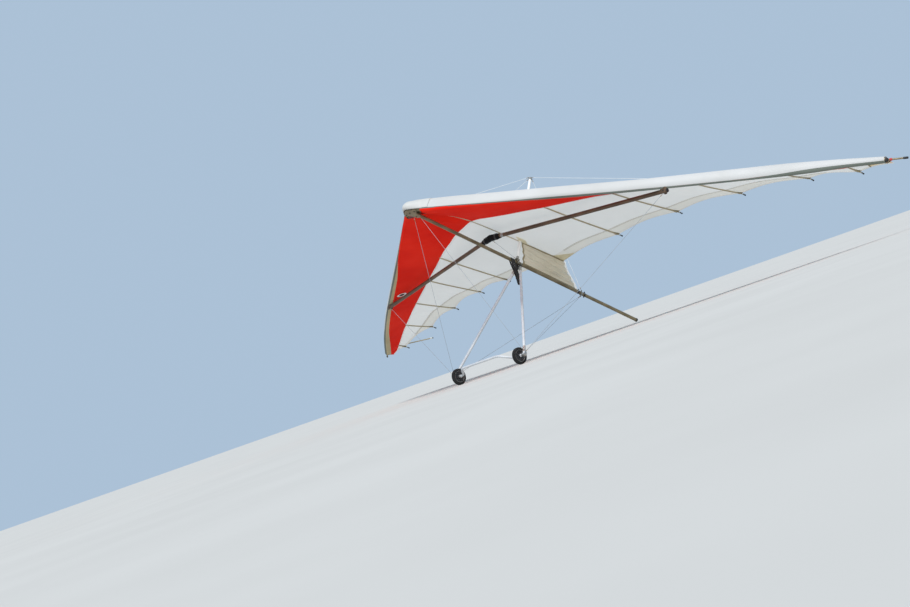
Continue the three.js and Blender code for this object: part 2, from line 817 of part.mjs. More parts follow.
function buildBaseBar() {
  const { straightTo, forwardFrom, round } = barBend;
  const path = new THREE.CurvePath();
  const at = (x, forward) => vec(x, -frameForward - forward, -frameDrop);
  const turn = (from, corner, to) => new THREE.QuadraticBezierCurve3(from, corner, to);
  const sloping = (side, share) => at(
    side * THREE.MathUtils.lerp(straightTo, forwardFrom, share),
    barReach * share,
  );
  const share = round / Math.hypot(straightTo - forwardFrom, barReach);
  const end = knuckleFaceX - gap;
  const outerIn = at(straightTo + round, 0);
  path.add(new THREE.LineCurve3(at(end, 0), outerIn));
  path.add(turn(outerIn, at(straightTo, 0), sloping(1, share)));
  path.add(new THREE.LineCurve3(sloping(1, share), sloping(1, 1 - share)));
  path.add(turn(sloping(1, 1 - share), at(forwardFrom, barReach), at(forwardFrom - round, barReach)));
  path.add(new THREE.LineCurve3(at(forwardFrom - round, barReach), at(round - forwardFrom, barReach)));
  path.add(turn(at(round - forwardFrom, barReach), at(-forwardFrom, barReach), sloping(-1, 1 - share)));
  path.add(new THREE.LineCurve3(sloping(-1, 1 - share), sloping(-1, share)));
  path.add(turn(sloping(-1, share), at(-straightTo, 0), at(-straightTo - round, 0)));
  path.add(new THREE.LineCurve3(at(-straightTo - round, 0), at(-end, 0)));
  const rings = [];
  path.curves.forEach((curve, c) => {
    const steps = curve.isLineCurve3 ? 1 : 4;
    for (let i = c === 0 ? 0 : 1; i <= steps; i += 1) {
      rings.push(roundRing(curve.getPoint(i / steps), curve.getTangent(i / steps), barRadius, 16));
    }
  });
  const collars = sides.map(([, side]) => {
    const collar = new THREE.CylinderGeometry(barRadius + 6, barRadius + 6, 2 * collarHalf, 16);
    collar.rotateZ(Math.PI / 2);
    collar.translate(side * (wheelX - hubHalfWidth - wheelSideGap - collarHalf), -frameForward, -frameDrop);
    return collar;
  });
  addPiece('base_bar', joined(loft(rings), ...collars), 'brightTube');
}

// A ring across a path that stays level
function roundRing(centre, tangent, radius, facets) {
  const across = Z.clone().cross(tangent).normalize();
  return Array.from({ length: facets }, (unused, i) => {
    const angle = (i / facets) * 2 * Math.PI;
    const outward = across.clone().multiplyScalar(Math.cos(angle)).addScaledVector(Z, Math.sin(angle));
    return centre.clone().addScaledVector(outward, radius);
  });
}

function turned(profile, facets) {
  const geometry = new THREE.LatheGeometry(profile, facets);
  geometry.rotateZ(-Math.PI / 2);
  return geometry;
}

function buildWheel(label, side) {
  const facets = 32;
  const bore = (barRadius + runningGap) / Math.cos(Math.PI / facets);
  const rimRadius = wheelRadius - tyreDepth;
  const half = tyreWidth / 2;
  const centre = vec(side * wheelX, -frameForward, -frameDrop);
  const rim = points2(
    [bore, -hubHalfWidth],
    [hubRadius, -hubHalfWidth],
    [hubRadius, -rimWebHalf],
    [rimRadius - 10, -rimWebHalf],
    [rimRadius - 6, -half + 4],
    [rimRadius - gap, -half + 4],
    [rimRadius - gap, half - 4],
    [rimRadius - 6, half - 4],
    [rimRadius - 10, rimWebHalf],
    [hubRadius, rimWebHalf],
    [hubRadius, hubHalfWidth],
    [bore, hubHalfWidth],
    [bore, -hubHalfWidth],
  );
  const tyre = points2(
    [rimRadius, -half + 2],
    [rimRadius + 8, -half],
    [wheelRadius - 9, -half + 1],
    [wheelRadius - 1.5, -half + 11],
    [wheelRadius, 0],
    [wheelRadius - 1.5, half - 11],
    [wheelRadius - 9, half - 1],
    [rimRadius + 8, half],
    [rimRadius, half - 2],
    [rimRadius, -half + 2],
  );
  addPiece(`wheel_rim_${label}`, turned(rim, facets), 'greyPlastic').position.copy(centre);
  addPiece(`wheel_tyre_${label}`, turned(tyre, facets), 'tyre').position.copy(centre);
}

function buildKingpost() {
  const half = keelRadius + gap;
  const wall = 4;
  const saddle = points2(
    [-half - wall, 12],
    [-half, 12],
    [-half, half],
    [half, half],
    [half, 12],
    [half + wall, 12],
    [half + wall, half + wall],
    [kingpostRadius + 3, half + wall],
    [kingpostRadius + 3, half + 26],
    [-kingpostRadius - 3, half + 26],
    [-kingpostRadius - 3, half + wall],
    [-half - wall, half + wall],
  );
  const base = addPiece('kingpost_base', plateGeometry(saddle, X, Z, 44), 'fitting');
  base.position.y = kingpostY;
  const foot = half + 26 + gap;
  const capHeight = 34;
  bar('kingpost', vec(0, kingpostY, foot), vec(0, kingpostY, kingpostHeight - capHeight - gap), kingpostRadius,
    'whiteTube', 20);
  const capProfile = points2(
    [0, kingpostHeight - capHeight],
    [kingpostRadius + 3, kingpostHeight - capHeight],
    [kingpostRadius + 3, kingpostHeight - 6],
    [kingpostRadius - 3, kingpostHeight],
    [0, kingpostHeight],
  );
  const capGeometry = new THREE.LatheGeometry(capProfile, 20);
  capGeometry.rotateX(Math.PI / 2);
  const cap = addPiece('kingpost_cap', capGeometry, 'blackPlastic');
  cap.position.y = kingpostY;
  return { base, cap };
}

function buildTang() {
  const ring = points2(
    [keelRadius + 0.6, -12],
    [keelRadius + 6, -12],
    [keelRadius + 6, 12],
    [keelRadius + 0.6, 12],
    [keelRadius + 0.6, -12],
  );
  const clamp = new THREE.LatheGeometry(ring, 24);
  clamp.translate(0, tangY, 0);
  const lugs = [-1, 1].map((up) => {
    const lug = new THREE.BoxGeometry(8, 18, 20);
    lug.translate(0, tangY, up * (keelRadius + 13));
    return lug;
  });
  return addPiece('rear_tang', joined(clamp, ...lugs), 'fitting');
}

// Hang loops: a flat strap over the keel whose two falls hang straight down in the parked pose
function buildHangLoop({ name, y, length }, parkAngle) {
  const keelDirection = vec(0, 1, 0);
  const down = vec(0, Math.sin(parkAngle), -Math.cos(parkAngle));
  const level = vec(0, Math.cos(parkAngle), Math.sin(parkAngle));
  const radius = keelRadius + 1 + strap.thick / 2;
  const start = vec(0, y, 0);
  const { eyeHalf, thick, width } = strap;
  const path = [];
  for (let i = 0; i <= 8; i += 1) {
    const angle = (i / 8) * Math.PI;
    const centre = start.clone().add(vec(radius * Math.cos(angle), 0, radius * Math.sin(angle)));
    const outward = vec(Math.cos(angle), 0, Math.sin(angle));
    path.push({ centre, outward, flat: keelDirection });
  }
  const fall = (x, drop, outward, flat) => path.push({
    centre: start.clone().add(vec(x, 0, 0)).addScaledVector(down, drop),
    outward,
    flat,
  });
  const bottom = down.clone();
  const slantLeft = vec(-1, 0, 0).addScaledVector(bottom, 1).normalize();
  const slantRight = vec(1, 0, 0).addScaledVector(bottom, 1).normalize();
  fall(-radius, 60, vec(-1, 0, 0), level);
  fall(-eyeHalf, length - 30, vec(-1, 0, 0), level);
  fall(-eyeHalf, length - 8, slantLeft, level);
  fall(-eyeHalf + 8, length, bottom, level);
  fall(eyeHalf - 8, length, bottom, level);
  fall(eyeHalf, length - 8, slantRight, level);
  fall(eyeHalf, length - 30, vec(1, 0, 0), level);
  fall(radius, 60, vec(1, 0, 0), level);
  const rings = path.map(({ centre, outward, flat }) => [
    [1, 1], [1, -1], [-1, -1], [-1, 1],
  ].map(([o, f]) => centre.clone()
    .addScaledVector(outward, (o * thick) / 2)
    .addScaledVector(flat, (f * width) / 2)));
  addPiece(name, hoop(rings), 'webbing');
}

// Stays: straight wires, cut back by the pieces that hold them so that each end just clears its seat
const stayFacets = 8;

function buildStay(name, from, to, ...holders) {
  const direction = to.clone().sub(from).normalize();
  const middle = from.clone().lerp(to, 0.5);
  const geometry = new THREE.CylinderGeometry(stayRadius, stayRadius, from.distanceTo(to), stayFacets);
  const turn = new THREE.Quaternion().setFromUnitVectors(vec(0, 1, 0), direction);
  geometry.applyMatrix4(new THREE.Matrix4().compose(middle, turn, vec(1, 1, 1)));
  const pieces = holders.reduce((wire, holder) => {
    holder.updateMatrixWorld();
    const tool = holder.geometry.clone().applyMatrix4(holder.matrixWorld);
    const side = Math.sign(middle.clone().sub(centreOf(tool)).dot(direction));
    const shift = direction.clone().multiplyScalar(side * gap);
    return wire.subtract(toManifold(tool.translate(shift.x, shift.y, shift.z)));
  }, toManifold(geometry)).decompose();
  pieces.sort((a, b) => b.volume() - a.volume());
  addPiece(name, fromManifold(pieces[0]), 'wire');
}

function centreOf(geometry) {
  geometry.computeBoundingBox();
  return geometry.boundingBox.getCenter(vec(0, 0, 0));
}

// Parked, the wheels and the lower edge of the keel's end touch the floor together
function parkAngleFromStand() {
  const tailDrop = (keelRadius + capLip) * Math.cos(Math.PI / capFacets);
  const long = keelBehind - capBevel + frameForward;
  const deep = frameDrop - tailDrop;
  return Math.atan2(deep, long) + Math.asin(wheelRadius / Math.hypot(long, deep));
}

const parkAngle = parkAngleFromStand();
const mastTop = vec(0, kingpostY, kingpostHeight - 8);
buildKeel();
const nose = buildNose();
const kingpost = buildKingpost();
const tang = buildTang();
const apex = buildApex();
const pad = buildPad();
buildBaseBar();
buildKeelPocket();
loopTable.forEach((row) => buildHangLoop(row, parkAngle));

sides.forEach(([label, side]) => {
  buildLeadingEdge(label, side);
  const pocket = buildPocket(label, side);
  buildSail(label, side);
  battenTable.forEach((row, i) => buildBatten(label, side, row, i + 1));
  buildStrut(label, side);
  const crossbar = buildCrossbar(label, side);
  buildJunction(label, side);
  buildUpright(label, side);
  const corner = buildCorner(label, side);
  buildWheel(label, side);
  const anchor = cornerPoint(side).add(vec(side * 4, 0, 24));
  const noseHold = vec(side * 50, -keelAhead + 130, -edgeRadius);
  const tangHold = vec(0, tangY, -keelRadius - 14);
  const { tubeEnd, direction } = junctionFrame(side);
  const barHold = tubeEnd.addScaledVector(direction, -40);
  const pocketHold = edgePoint(junctionX, side).add(vec(0, upperStayHold.behind, upperStayHold.up));
  buildStay(`stay_lower_front_${label}`, anchor, noseHold, corner, nose.lower);
  buildStay(`stay_lower_side_${label}`, anchor, barHold, corner, crossbar);
  buildStay(`stay_lower_rear_${label}`, anchor, tangHold, corner, tang);
  buildStay(`stay_upper_side_${label}`, mastTop, pocketHold, kingpost.cap, pocket);
});

buildStay('stay_upper_front', mastTop, vec(0, -keelAhead + 130, 24), kingpost.cap, nose.upper);
buildStay('stay_upper_rear', mastTop, vec(0, tangY, keelRadius + 14), kingpost.cap, tang);
const padHold = crossbarCentre.clone().add(vec(0, 20, -10));
buildStay('crossbar_restraint', padHold, vec(0, kingpostY, keelRadius + 16), pad, kingpost.base);

// Park it, and put the zero under the middle of its box
const parked = new THREE.Group();
keelFrame.rotation.x = -parkAngle;
parked.add(keelFrame);
parked.updateMatrixWorld(true);
const box = new THREE.Box3().setFromObject(parked, true);
const middle = box.getCenter(vec(0, 0, 0));
keelFrame.position.set(-middle.x, -middle.y, -box.min.z);

export default parked;
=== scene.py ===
"""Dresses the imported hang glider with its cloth, tubes, fittings, stays and wheels.

The shapes are worked out in the keel's own frame, in metres: X runs to the left wing, Y runs aft
along the keel and Z away from the control bar. Its zero is on the keel tube's centre line above
the control bar's apex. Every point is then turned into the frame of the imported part.
"""

import json
import math

import bpy
import numpy as np
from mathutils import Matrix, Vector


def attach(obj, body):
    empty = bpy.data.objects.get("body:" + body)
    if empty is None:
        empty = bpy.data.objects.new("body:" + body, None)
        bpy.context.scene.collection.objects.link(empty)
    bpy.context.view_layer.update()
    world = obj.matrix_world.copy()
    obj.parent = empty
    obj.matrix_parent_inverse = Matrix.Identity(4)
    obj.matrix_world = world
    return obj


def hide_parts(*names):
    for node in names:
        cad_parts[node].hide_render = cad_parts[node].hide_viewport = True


# Sizes that the part is built to
GAP = 0.0003
KEEL_AHEAD = 1.675
KEEL_BEHIND = 1.96
KEEL_RADIUS = 0.021
KEEL_NOSE_RADIUS = 0.025
KEEL_NOSE_LENGTH = 0.15
END_CAP_LENGTH = 0.026
SWEEP = math.radians(30.1)
HALF_SPAN = 4.81
EDGE_SLOPE = 0.0575
TIP_LIFT = 0.088
TIP_BEND = 0.15
EDGE_RADIUS = 0.025
EDGE_START = 0.052
TIP_CAP_LENGTH = 0.034
JUNCTION_X = 2.695
JUNCTION_DROP = 0.085
CROSSBAR_RADIUS = 0.024
CROSSBAR_CENTRE = np.array([0, -0.47, 0.145])
PAD_HALF_LENGTH = 0.165
APEX_HALF_WIDTH = 0.045
APEX_DROP = 0.065
FRAME_DROP = 1.445
FRAME_FORWARD = 0.195
FRAME_HALF_WIDTH = 0.68
UPRIGHT_RADIUS = 0.016
BAR_RADIUS = 0.014
BAR_REACH = 0.14
BAR_STRAIGHT_TO = 0.488
BAR_FORWARD_FROM = 0.345
BAR_ROUND = 0.045
KNUCKLE_FACE_X = 0.645
KNUCKLE_REACH = 0.055
WHEEL_X = 0.588
WHEEL_RADIUS = 0.1
TYRE_WIDTH = 0.042
TYRE_DEPTH = 0.03
HUB_HALF_WIDTH = 0.028
HUB_RADIUS = 0.027
RUNNING_GAP = 0.0006
WHEEL_SIDE_GAP = 0.005
COLLAR_HALF = 0.007
KINGPOST_Y = -0.03
KINGPOST_HEIGHT = 1.19
KINGPOST_RADIUS = 0.017
KINGPOST_CAP = 0.034
TANG_Y = 1.01
LOOP_STRAP = {"width": 0.026, "thick": 0.004, "eye_half": 0.015}
LOOPS = {"hang_loop_main": (-0.092, 0.3), "hang_loop_backup": (-0.126, 0.325)}
BATTEN_OVERHANG = 0.04
SCALLOP = 0.06
ROOT_SCALLOP = 0.035
CAMBER_PEAK = 0.37
CAMBER_FRONT_POWER = 1.4
CAMBER_REAR_POWER = 1.25
CROWN_FADE = 4.2
POCKET_NOSE = 0.036
POCKET_BACK = 0.0069 / math.cos(SWEEP)
NOSE_OPENING = 0.15
CANOPY_NOSE_CUT = 0.29
TIP_X = 4.66
KEEL_POCKET_FRONT = (-0.004, 0.062)
KEEL_POCKET_END = 0.922
STRUT_X = 4.475
STRUT_RADIUS = 0.008
STRUT_END = np.array([4.258, 1.656, 0.682])
PLATE_THICK = 0.004
CHANNEL_WALL = 0.004
NOSE_PLATE_FRONT = 0.034
STAY_HOLD = np.array([0, 0.03, 0.07])

# Trailing edge and battens, out along the span, aft and up
ROOT_TRAIL = (0, 0.675, 0.318)
BATTENS = [
    (1.085, 0.652, 0.338),
    (1.908, 0.830, 0.459),
    (2.742, 1.010, 0.507),
    (3.572, 1.220, 0.512),
    (4.257, 1.256, 0.376),
]
TIP_TRAIL = (TIP_X, 1.292, 0.368)

# Tables out along the span: place, value
CAMBER = [(0, 0.053), (0.42, 0.038), (1.085, 0.018), (3.572, 0.018), (4.66, 0.03)]
POCKET_DEPTH = [
    (0, 0.145), (1.5, 0.165), (2.9, 0.19), (3.7, 0.165), (4.15, 0.085), (4.66, 0.058),
]
CROWN = [
    (0, 0), (0.15, 0.13), (0.42, 0.131), (0.76, 0.124), (1.085, 0.118), (1.5, 0.112),
    (2.0, 0.099), (2.5, 0.088), (3.7, 0.09), (4.2, 0.074), (4.66, 0.042),
]

# Lines on the cloth, read off the photograph
RED_DEPTH = [
    # how far behind the leading edge the red panel ends, between what the two wings show
    (0, 0.891), (0.41, 0.775), (0.98, 0.585), (1.5, 0.51), (2.0, 0.465), (3.1, 0.38),
    (3.73, 0.296), (4.3, 0.217), (4.66, 0.16),
]
RED_SHIFT = {
    # how far aft of that each wing's boundary lies in the photograph
    "left": [
        (0, 0), (1.1, -0.04), (1.35, -0.06), (1.85, -0.1), (2.4, -0.06), (3.2, 0), (4.0, 0),
        (4.4, -0.08), (4.66, -0.06),
    ],
    "right": [
        (0, 0), (0.2, -0.016), (0.41, -0.036), (0.7, 0), (1.1, 0.036), (1.4, 0.05), (2.0, 0.04),
        (3.2, 0), (4.66, 0),
    ],
}
TRAIL_SEAM = [
    (0, 0.498), (0.65, 0.44), (1.03, 0.43), (1.77, 0.56), (2.3, 0.64), (2.88, 0.745),
    (3.4, 0.93), (3.93, 1.12), (4.3, 1.2), (4.66, 1.28),
]
NOSE_DEPTH = [
    # how far the skin hangs below the leading edge's centre line
    (0.15, 0.036), (1.3, 0.037), (1.8, 0.05), (2.2, 0.06), (2.6, 0.064), (3.6, 0.066),
    (4.0, 0.06), (4.3, 0.042), (4.66, 0.034),
]
SKIN_SEAM = [
    # where the white skin ends, as degrees round the pocket's nose from its rear
    (0.15, 184), (0.35, 190), (0.57, 200), (0.78, 211), (1.0, 220), (1.21, 226), (1.5, 228),
    (1.8, 228), (2.4, 229), (2.9, 234), (3.4, 236), (3.75, 224), (4.1, 206), (4.66, 214),
]
STRIP_END = [
    # where the strip of painted shade ends, in the same degrees
    (0.15, 200), (0.34, 204), (0.55, 212), (0.77, 226), (0.98, 236), (1.2, 248), (1.41, 262),
    (1.7, 271), (4.66, 271),
]

# Widths, depths and sections of the sail's trim
HEM = 0.03
PANEL_LEAST = 0.002
RED_TO_TRAIL = 0.012
# how far out the tan painted shade behind the tip strut starts
TIP_SHADE_FROM = 3.9
SKIN_LIFT = 0.0012
BELOW = {
    # how far under the upper cloth each of these lies
    "kingpost_patch": 0.008, "batten": 0.0065, "root_tape": 0.0062, "red_tape": 0.0055,
    "undersurface": 0.005, "keel_pocket": 0.0045, "undersurface_rear": 0.004,
    "strut_painted_shadow": 0.0035, "corner_patch": 0.0022, "seam_tape": 0.0016,
}
UNDER_START = -1.41
UNDER_SAG = 0.014
MOUTH_FROM_END = 0.335
MOUTH_LENGTH = 0.125
MOUTH_WIDTH = 0.115
# width of the beige strip behind the pocket's nose; where it widens towards the tip it is painted shade,
# covering red that lies in shade there
STRIP_WIDTH = [(0, 0), (1.3, 0), (1.9, 0.04), (3.6, 0.05), (4.3, 0.075), (4.66, 0.075)]
BATTEN_ROD = 0.0045
BATTEN_END_DROP = 0.0045
BATTEN_END = [
    # along the rod, radius
    (0, 0.0075), (0.014, 0.0075), (0.018, 0.005), (0.022, 0.006), (0.03, 0.0095),
    (0.036, 0.0085), (0.039, 0.004),
]
POCKET_SECTION = [
    # out from the batten's middle, drop below the upper cloth
    (-0.018, 0.0012), (-0.0098, 0.0018), (-0.008, 0.0068), (-0.0045, 0.011), (0, 0.0122),
    (0.0045, 0.011), (0.008, 0.0068), (0.0098, 0.0018), (0.018, 0.0012),
]
NOSE_CONE_RISE = [
    # behind the cone's front, above the keel's centre line
    (0.4, 0.128), (0.35, 0.134), (0.3, 0.137), (0.25, 0.138), (0.21, 0.136), (0.13, 0.13),
    (0.075, 0.115), (0.034, 0.088), (0.01, 0.055), (0, 0.028), (0.002, 0.004), (0.012, -0.012),
    (0.03, -0.021),
]
NOSE_CONE_OVER_CLOTH = 6
NOSE_CONE_STATIONS = 41
NOSE_CONE_BACK = 0.24
NOSE_CONE_HALF = 0.24
NOSE_CONE_REAR = 0.323
NOSE_CONE_REAR_SWEEP = 0.056
NOSE_CONE_AHEAD = 0.042
NOSE_CONE_ROUND = 0.06
STAY_RADIUS = 0.002

# Fittings whose shape follows the photograph and not the solid
TIP_ROD = 0.0095
BRACKET_CHEEKS = [
    # along the crossbar from the bracket's middle, how low its cheeks reach, share of its width
    (-0.048, 0.04, 1), (-0.03, -0.012, 1), (-0.018, -0.03, 1), (0.014, -0.03, 1),
    (0.026, -0.008, 0.85), (0.048, 0.05, 0.35),
]
NOSE_PLATE_HALF = [
    # out from the middle, behind the keel's front
    (0, -NOSE_PLATE_FRONT), (0.028, -0.03), (0.098, 0.018), (0.108, 0.036), (0.092, 0.062),
    (0.052, 0.09), (0.024, 0.16), (0, 0.165),
]
NOSE_BOLTS = [(0.078, 0.038), (-0.078, 0.038), (0, 0.03), (0, 0.13)]
NOSE_BOLT_LAYERS = [
    # sides, then rows of distance along the bolt and radius
    (20, [(0, 0.009), (0.0016, 0.009)]),
    (6, [(0.0016, 0.0072), (0.0068, 0.0072), (0.008, 0.006)]),
    (12, [(0.007, 0.0036), (0.0105, 0.0034)]),
]

# Camera fitted to the photograph, in the keel's frame
PHOTO_WIDTH = 910
CAMERA_PIXELS = 1639.8
SENSOR = 36.0
CAMERA_PLACE = (14.828, -10.349, -8.599)
CAMERA_RIGHT = (0.5913, 0.7908, 0.1582)
CAMERA_DOWN = (-0.2392, 0.3594, -0.902)
CAMERA_AHEAD = (-0.7702, 0.4955, 0.4017)

# Surroundings
FLOOR_RADIUS = 150.0
FLOOR_SIDES = 96
SUNLIGHT = (1, 0.98, 0.95)

X = np.array([1.0, 0, 0])
Y = np.array([0, 1.0, 0])
Z = np.array([0, 0, 1.0])
SIDES = (("left", 1), ("right", -1))

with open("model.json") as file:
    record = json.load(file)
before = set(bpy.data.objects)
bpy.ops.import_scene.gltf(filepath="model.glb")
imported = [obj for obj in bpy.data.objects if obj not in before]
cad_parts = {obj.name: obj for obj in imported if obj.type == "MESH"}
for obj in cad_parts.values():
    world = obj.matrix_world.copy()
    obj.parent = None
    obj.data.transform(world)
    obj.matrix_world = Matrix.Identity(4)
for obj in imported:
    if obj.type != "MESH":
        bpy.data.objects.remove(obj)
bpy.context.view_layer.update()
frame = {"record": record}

mounts = {mount["name"]: mount for mount in frame["record"]["mounts"]}
tail = mounts["keel_end_face"]
ALONG = np.array(tail["axis"], float)
ALONG /= np.linalg.norm(ALONG)
TURN = np.stack([X, ALONG, np.cross(X, ALONG)])
ORIGIN = np.array(tail["pos_m"], float) - KEEL_BEHIND * ALONG


def to_part(points):
    return ORIGIN + np.asarray(points, float) @ TURN


def unit(vector):
    vector = np.asarray(vector, float)
    return vector / np.linalg.norm(vector)


def lerp(a, b, t):
    return a + (b - a) * t


def smooth_step(t):
    t = np.clip(t, 0, 1)
    return t * t * (3 - 2 * t)


def mirrored(points, side):
    return np.asarray(points, float) * np.array([side, 1, 1])


def on_side(outline, side):
    """A flat outline for one wing, with its points still in the same turning sense."""
    return [(side * a, b) for a, b in outline][::side]


def both_sides(rows):
    """Half an outline or a profile, followed by its mirror image."""
    return rows + [(-a, b) for a, b in rows[::-1]]


def points_at(x, y, z):
    return np.stack(np.broadcast_arrays(x, y, z), -1)


def circle(u, v, sides):
    """Offsets of length one, round a circle in the directions u and v."""
    angles = np.arange(sides) / sides * 2 * math.pi
    return np.cos(angles)[:, None] * u + np.sin(angles)[:, None] * v


def square_to(axis):
    return unit(np.cross(axis, Z if abs(axis[2]) < 0.9 else X))


def table(rows, x):
    """A smooth line through the rows of a table that never overshoots them."""
    xs, ys = np.array(rows, float).T
    h = np.diff(xs)
    slope = np.diff(ys) / h
    tangent = np.concatenate([slope[:1], np.zeros(len(slope) - 1), slope[-1:]])
    for i in range(1, len(slope)):
        if slope[i - 1] * slope[i] > 0:
            w0, w1 = 2 * h[i] + h[i - 1], h[i] + 2 * h[i - 1]
            tangent[i] = (w0 + w1) / (w0 / slope[i - 1] + w1 / slope[i])
    x = np.clip(np.asarray(x, float), xs[0], xs[-1])
    i = np.clip(np.searchsorted(xs, x, side="right") - 1, 0, len(h) - 1)
    t = (x - xs[i]) / h[i]
    rise = ys[i + 1] - ys[i]
    return (
        ys[i]
        + rise * t * t * (3 - 2 * t)
        + h[i] * tangent[i] * t * (1 - t) ** 2
        - h[i] * tangent[i + 1] * t * t * (1 - t)
    )


# The wing's surface

TRAIL_POINTS = [ROOT_TRAIL]
TRAIL_POINTS += [(x, y - BATTEN_OVERHANG, z - BATTEN_OVERHANG / 6) for x, y, z in BATTENS]
TRAIL_POINTS.append(TIP_TRAIL)
TRAIL_X = np.array([point[0] for point in TRAIL_POINTS])


def edge_y(x):
    past = np.maximum(0, (x - JUNCTION_X) / (HALF_SPAN - JUNCTION_X))
    return -KEEL_AHEAD + x * math.tan(SWEEP) + TIP_BEND * past**2


def edge_z(x):
    past = np.maximum(0, (x - JUNCTION_X) / (HALF_SPAN - JUNCTION_X))
    return EDGE_SLOPE * x + TIP_LIFT * past**2


def edge_point(x, side):
    return np.array([side * x, edge_y(x), edge_z(x)])


def bay(x):
    """Share of the way across the bay between two battens, and the bay's width."""
    i = np.clip(np.searchsorted(TRAIL_X, x, side="right") - 1, 0, len(TRAIL_X) - 2)
    width = TRAIL_X[i + 1] - TRAIL_X[i]
    return (x - TRAIL_X[i]) / width, width


def trail_y(x):
    share, width = bay(x)
    line = np.interp(x, TRAIL_X, [point[1] for point in TRAIL_POINTS])
    deep = np.where(np.asarray(x) < BATTENS[0][0], ROOT_SCALLOP, SCALLOP)
    return line - deep * 4 * share * (1 - share) * width


def trail_z(x):
    straight = np.interp(x, TRAIL_X, [point[2] for point in TRAIL_POINTS])
    curved = table([(point[0], point[2]) for point in TRAIL_POINTS], x)
    return (straight + curved) / 2


def camber_shape(u):
    up = np.sin(math.pi / 2 * np.clip(u / CAMBER_PEAK, 0, 1)) ** CAMBER_FRONT_POWER
    down = 1 - np.clip((u - CAMBER_PEAK) / (1 - CAMBER_PEAK), 0, 1) ** CAMBER_REAR_POWER
    return np.where(u < CAMBER_PEAK, up, down)


def cloth_z(x, y):
    """Height of the upper cloth, with a little billow between the battens."""
    x = np.abs(x)
    front, rear = edge_y(x), trail_y(x)
    chord = rear - front
    u = np.clip((y - front) / chord, 0, 1)
    share, width = bay(x)
    billow = 0.016 * width * np.sin(math.pi * share) ** 2 * smooth_step((u - 0.25) / 0.5)
    line = lerp(edge_z(x), trail_z(x), u)
    crown = table(CROWN, x) * (1 - u) ** CROWN_FADE
    return line + table(CAMBER, x) * chord * camber_shape(u) + crown + billow


def pocket_rear(x):
    return edge_y(x) + table(POCKET_DEPTH, x)


def cloth_front(x):
    behind_nose = -KEEL_AHEAD + CANOPY_NOSE_CUT
    inside = lerp(behind_nose, pocket_rear(NOSE_OPENING), x / NOSE_OPENING)
    return np.where(x < NOSE_OPENING, inside, pocket_rear(x))


def red_line(x, label):
    """The rear boundary of the red panel."""
    depth = table(RED_DEPTH, x) + table(RED_SHIFT[label], x)
    return np.minimum(edge_y(x) + depth, trail_y(x) - RED_TO_TRAIL)


def seam_line(x, label):
    rear = trail_y(x) - HEM - 2 * PANEL_LEAST
    return np.clip(table(TRAIL_SEAM, x), red_line(x, label) + PANEL_LEAST, rear)


def on_cloth(x, y, side, drop=0.0):
    """Points under the upper cloth, for X out along the span on one wing."""
    return points_at(side * x, y, cloth_z(x, y) - drop)


# Shapes


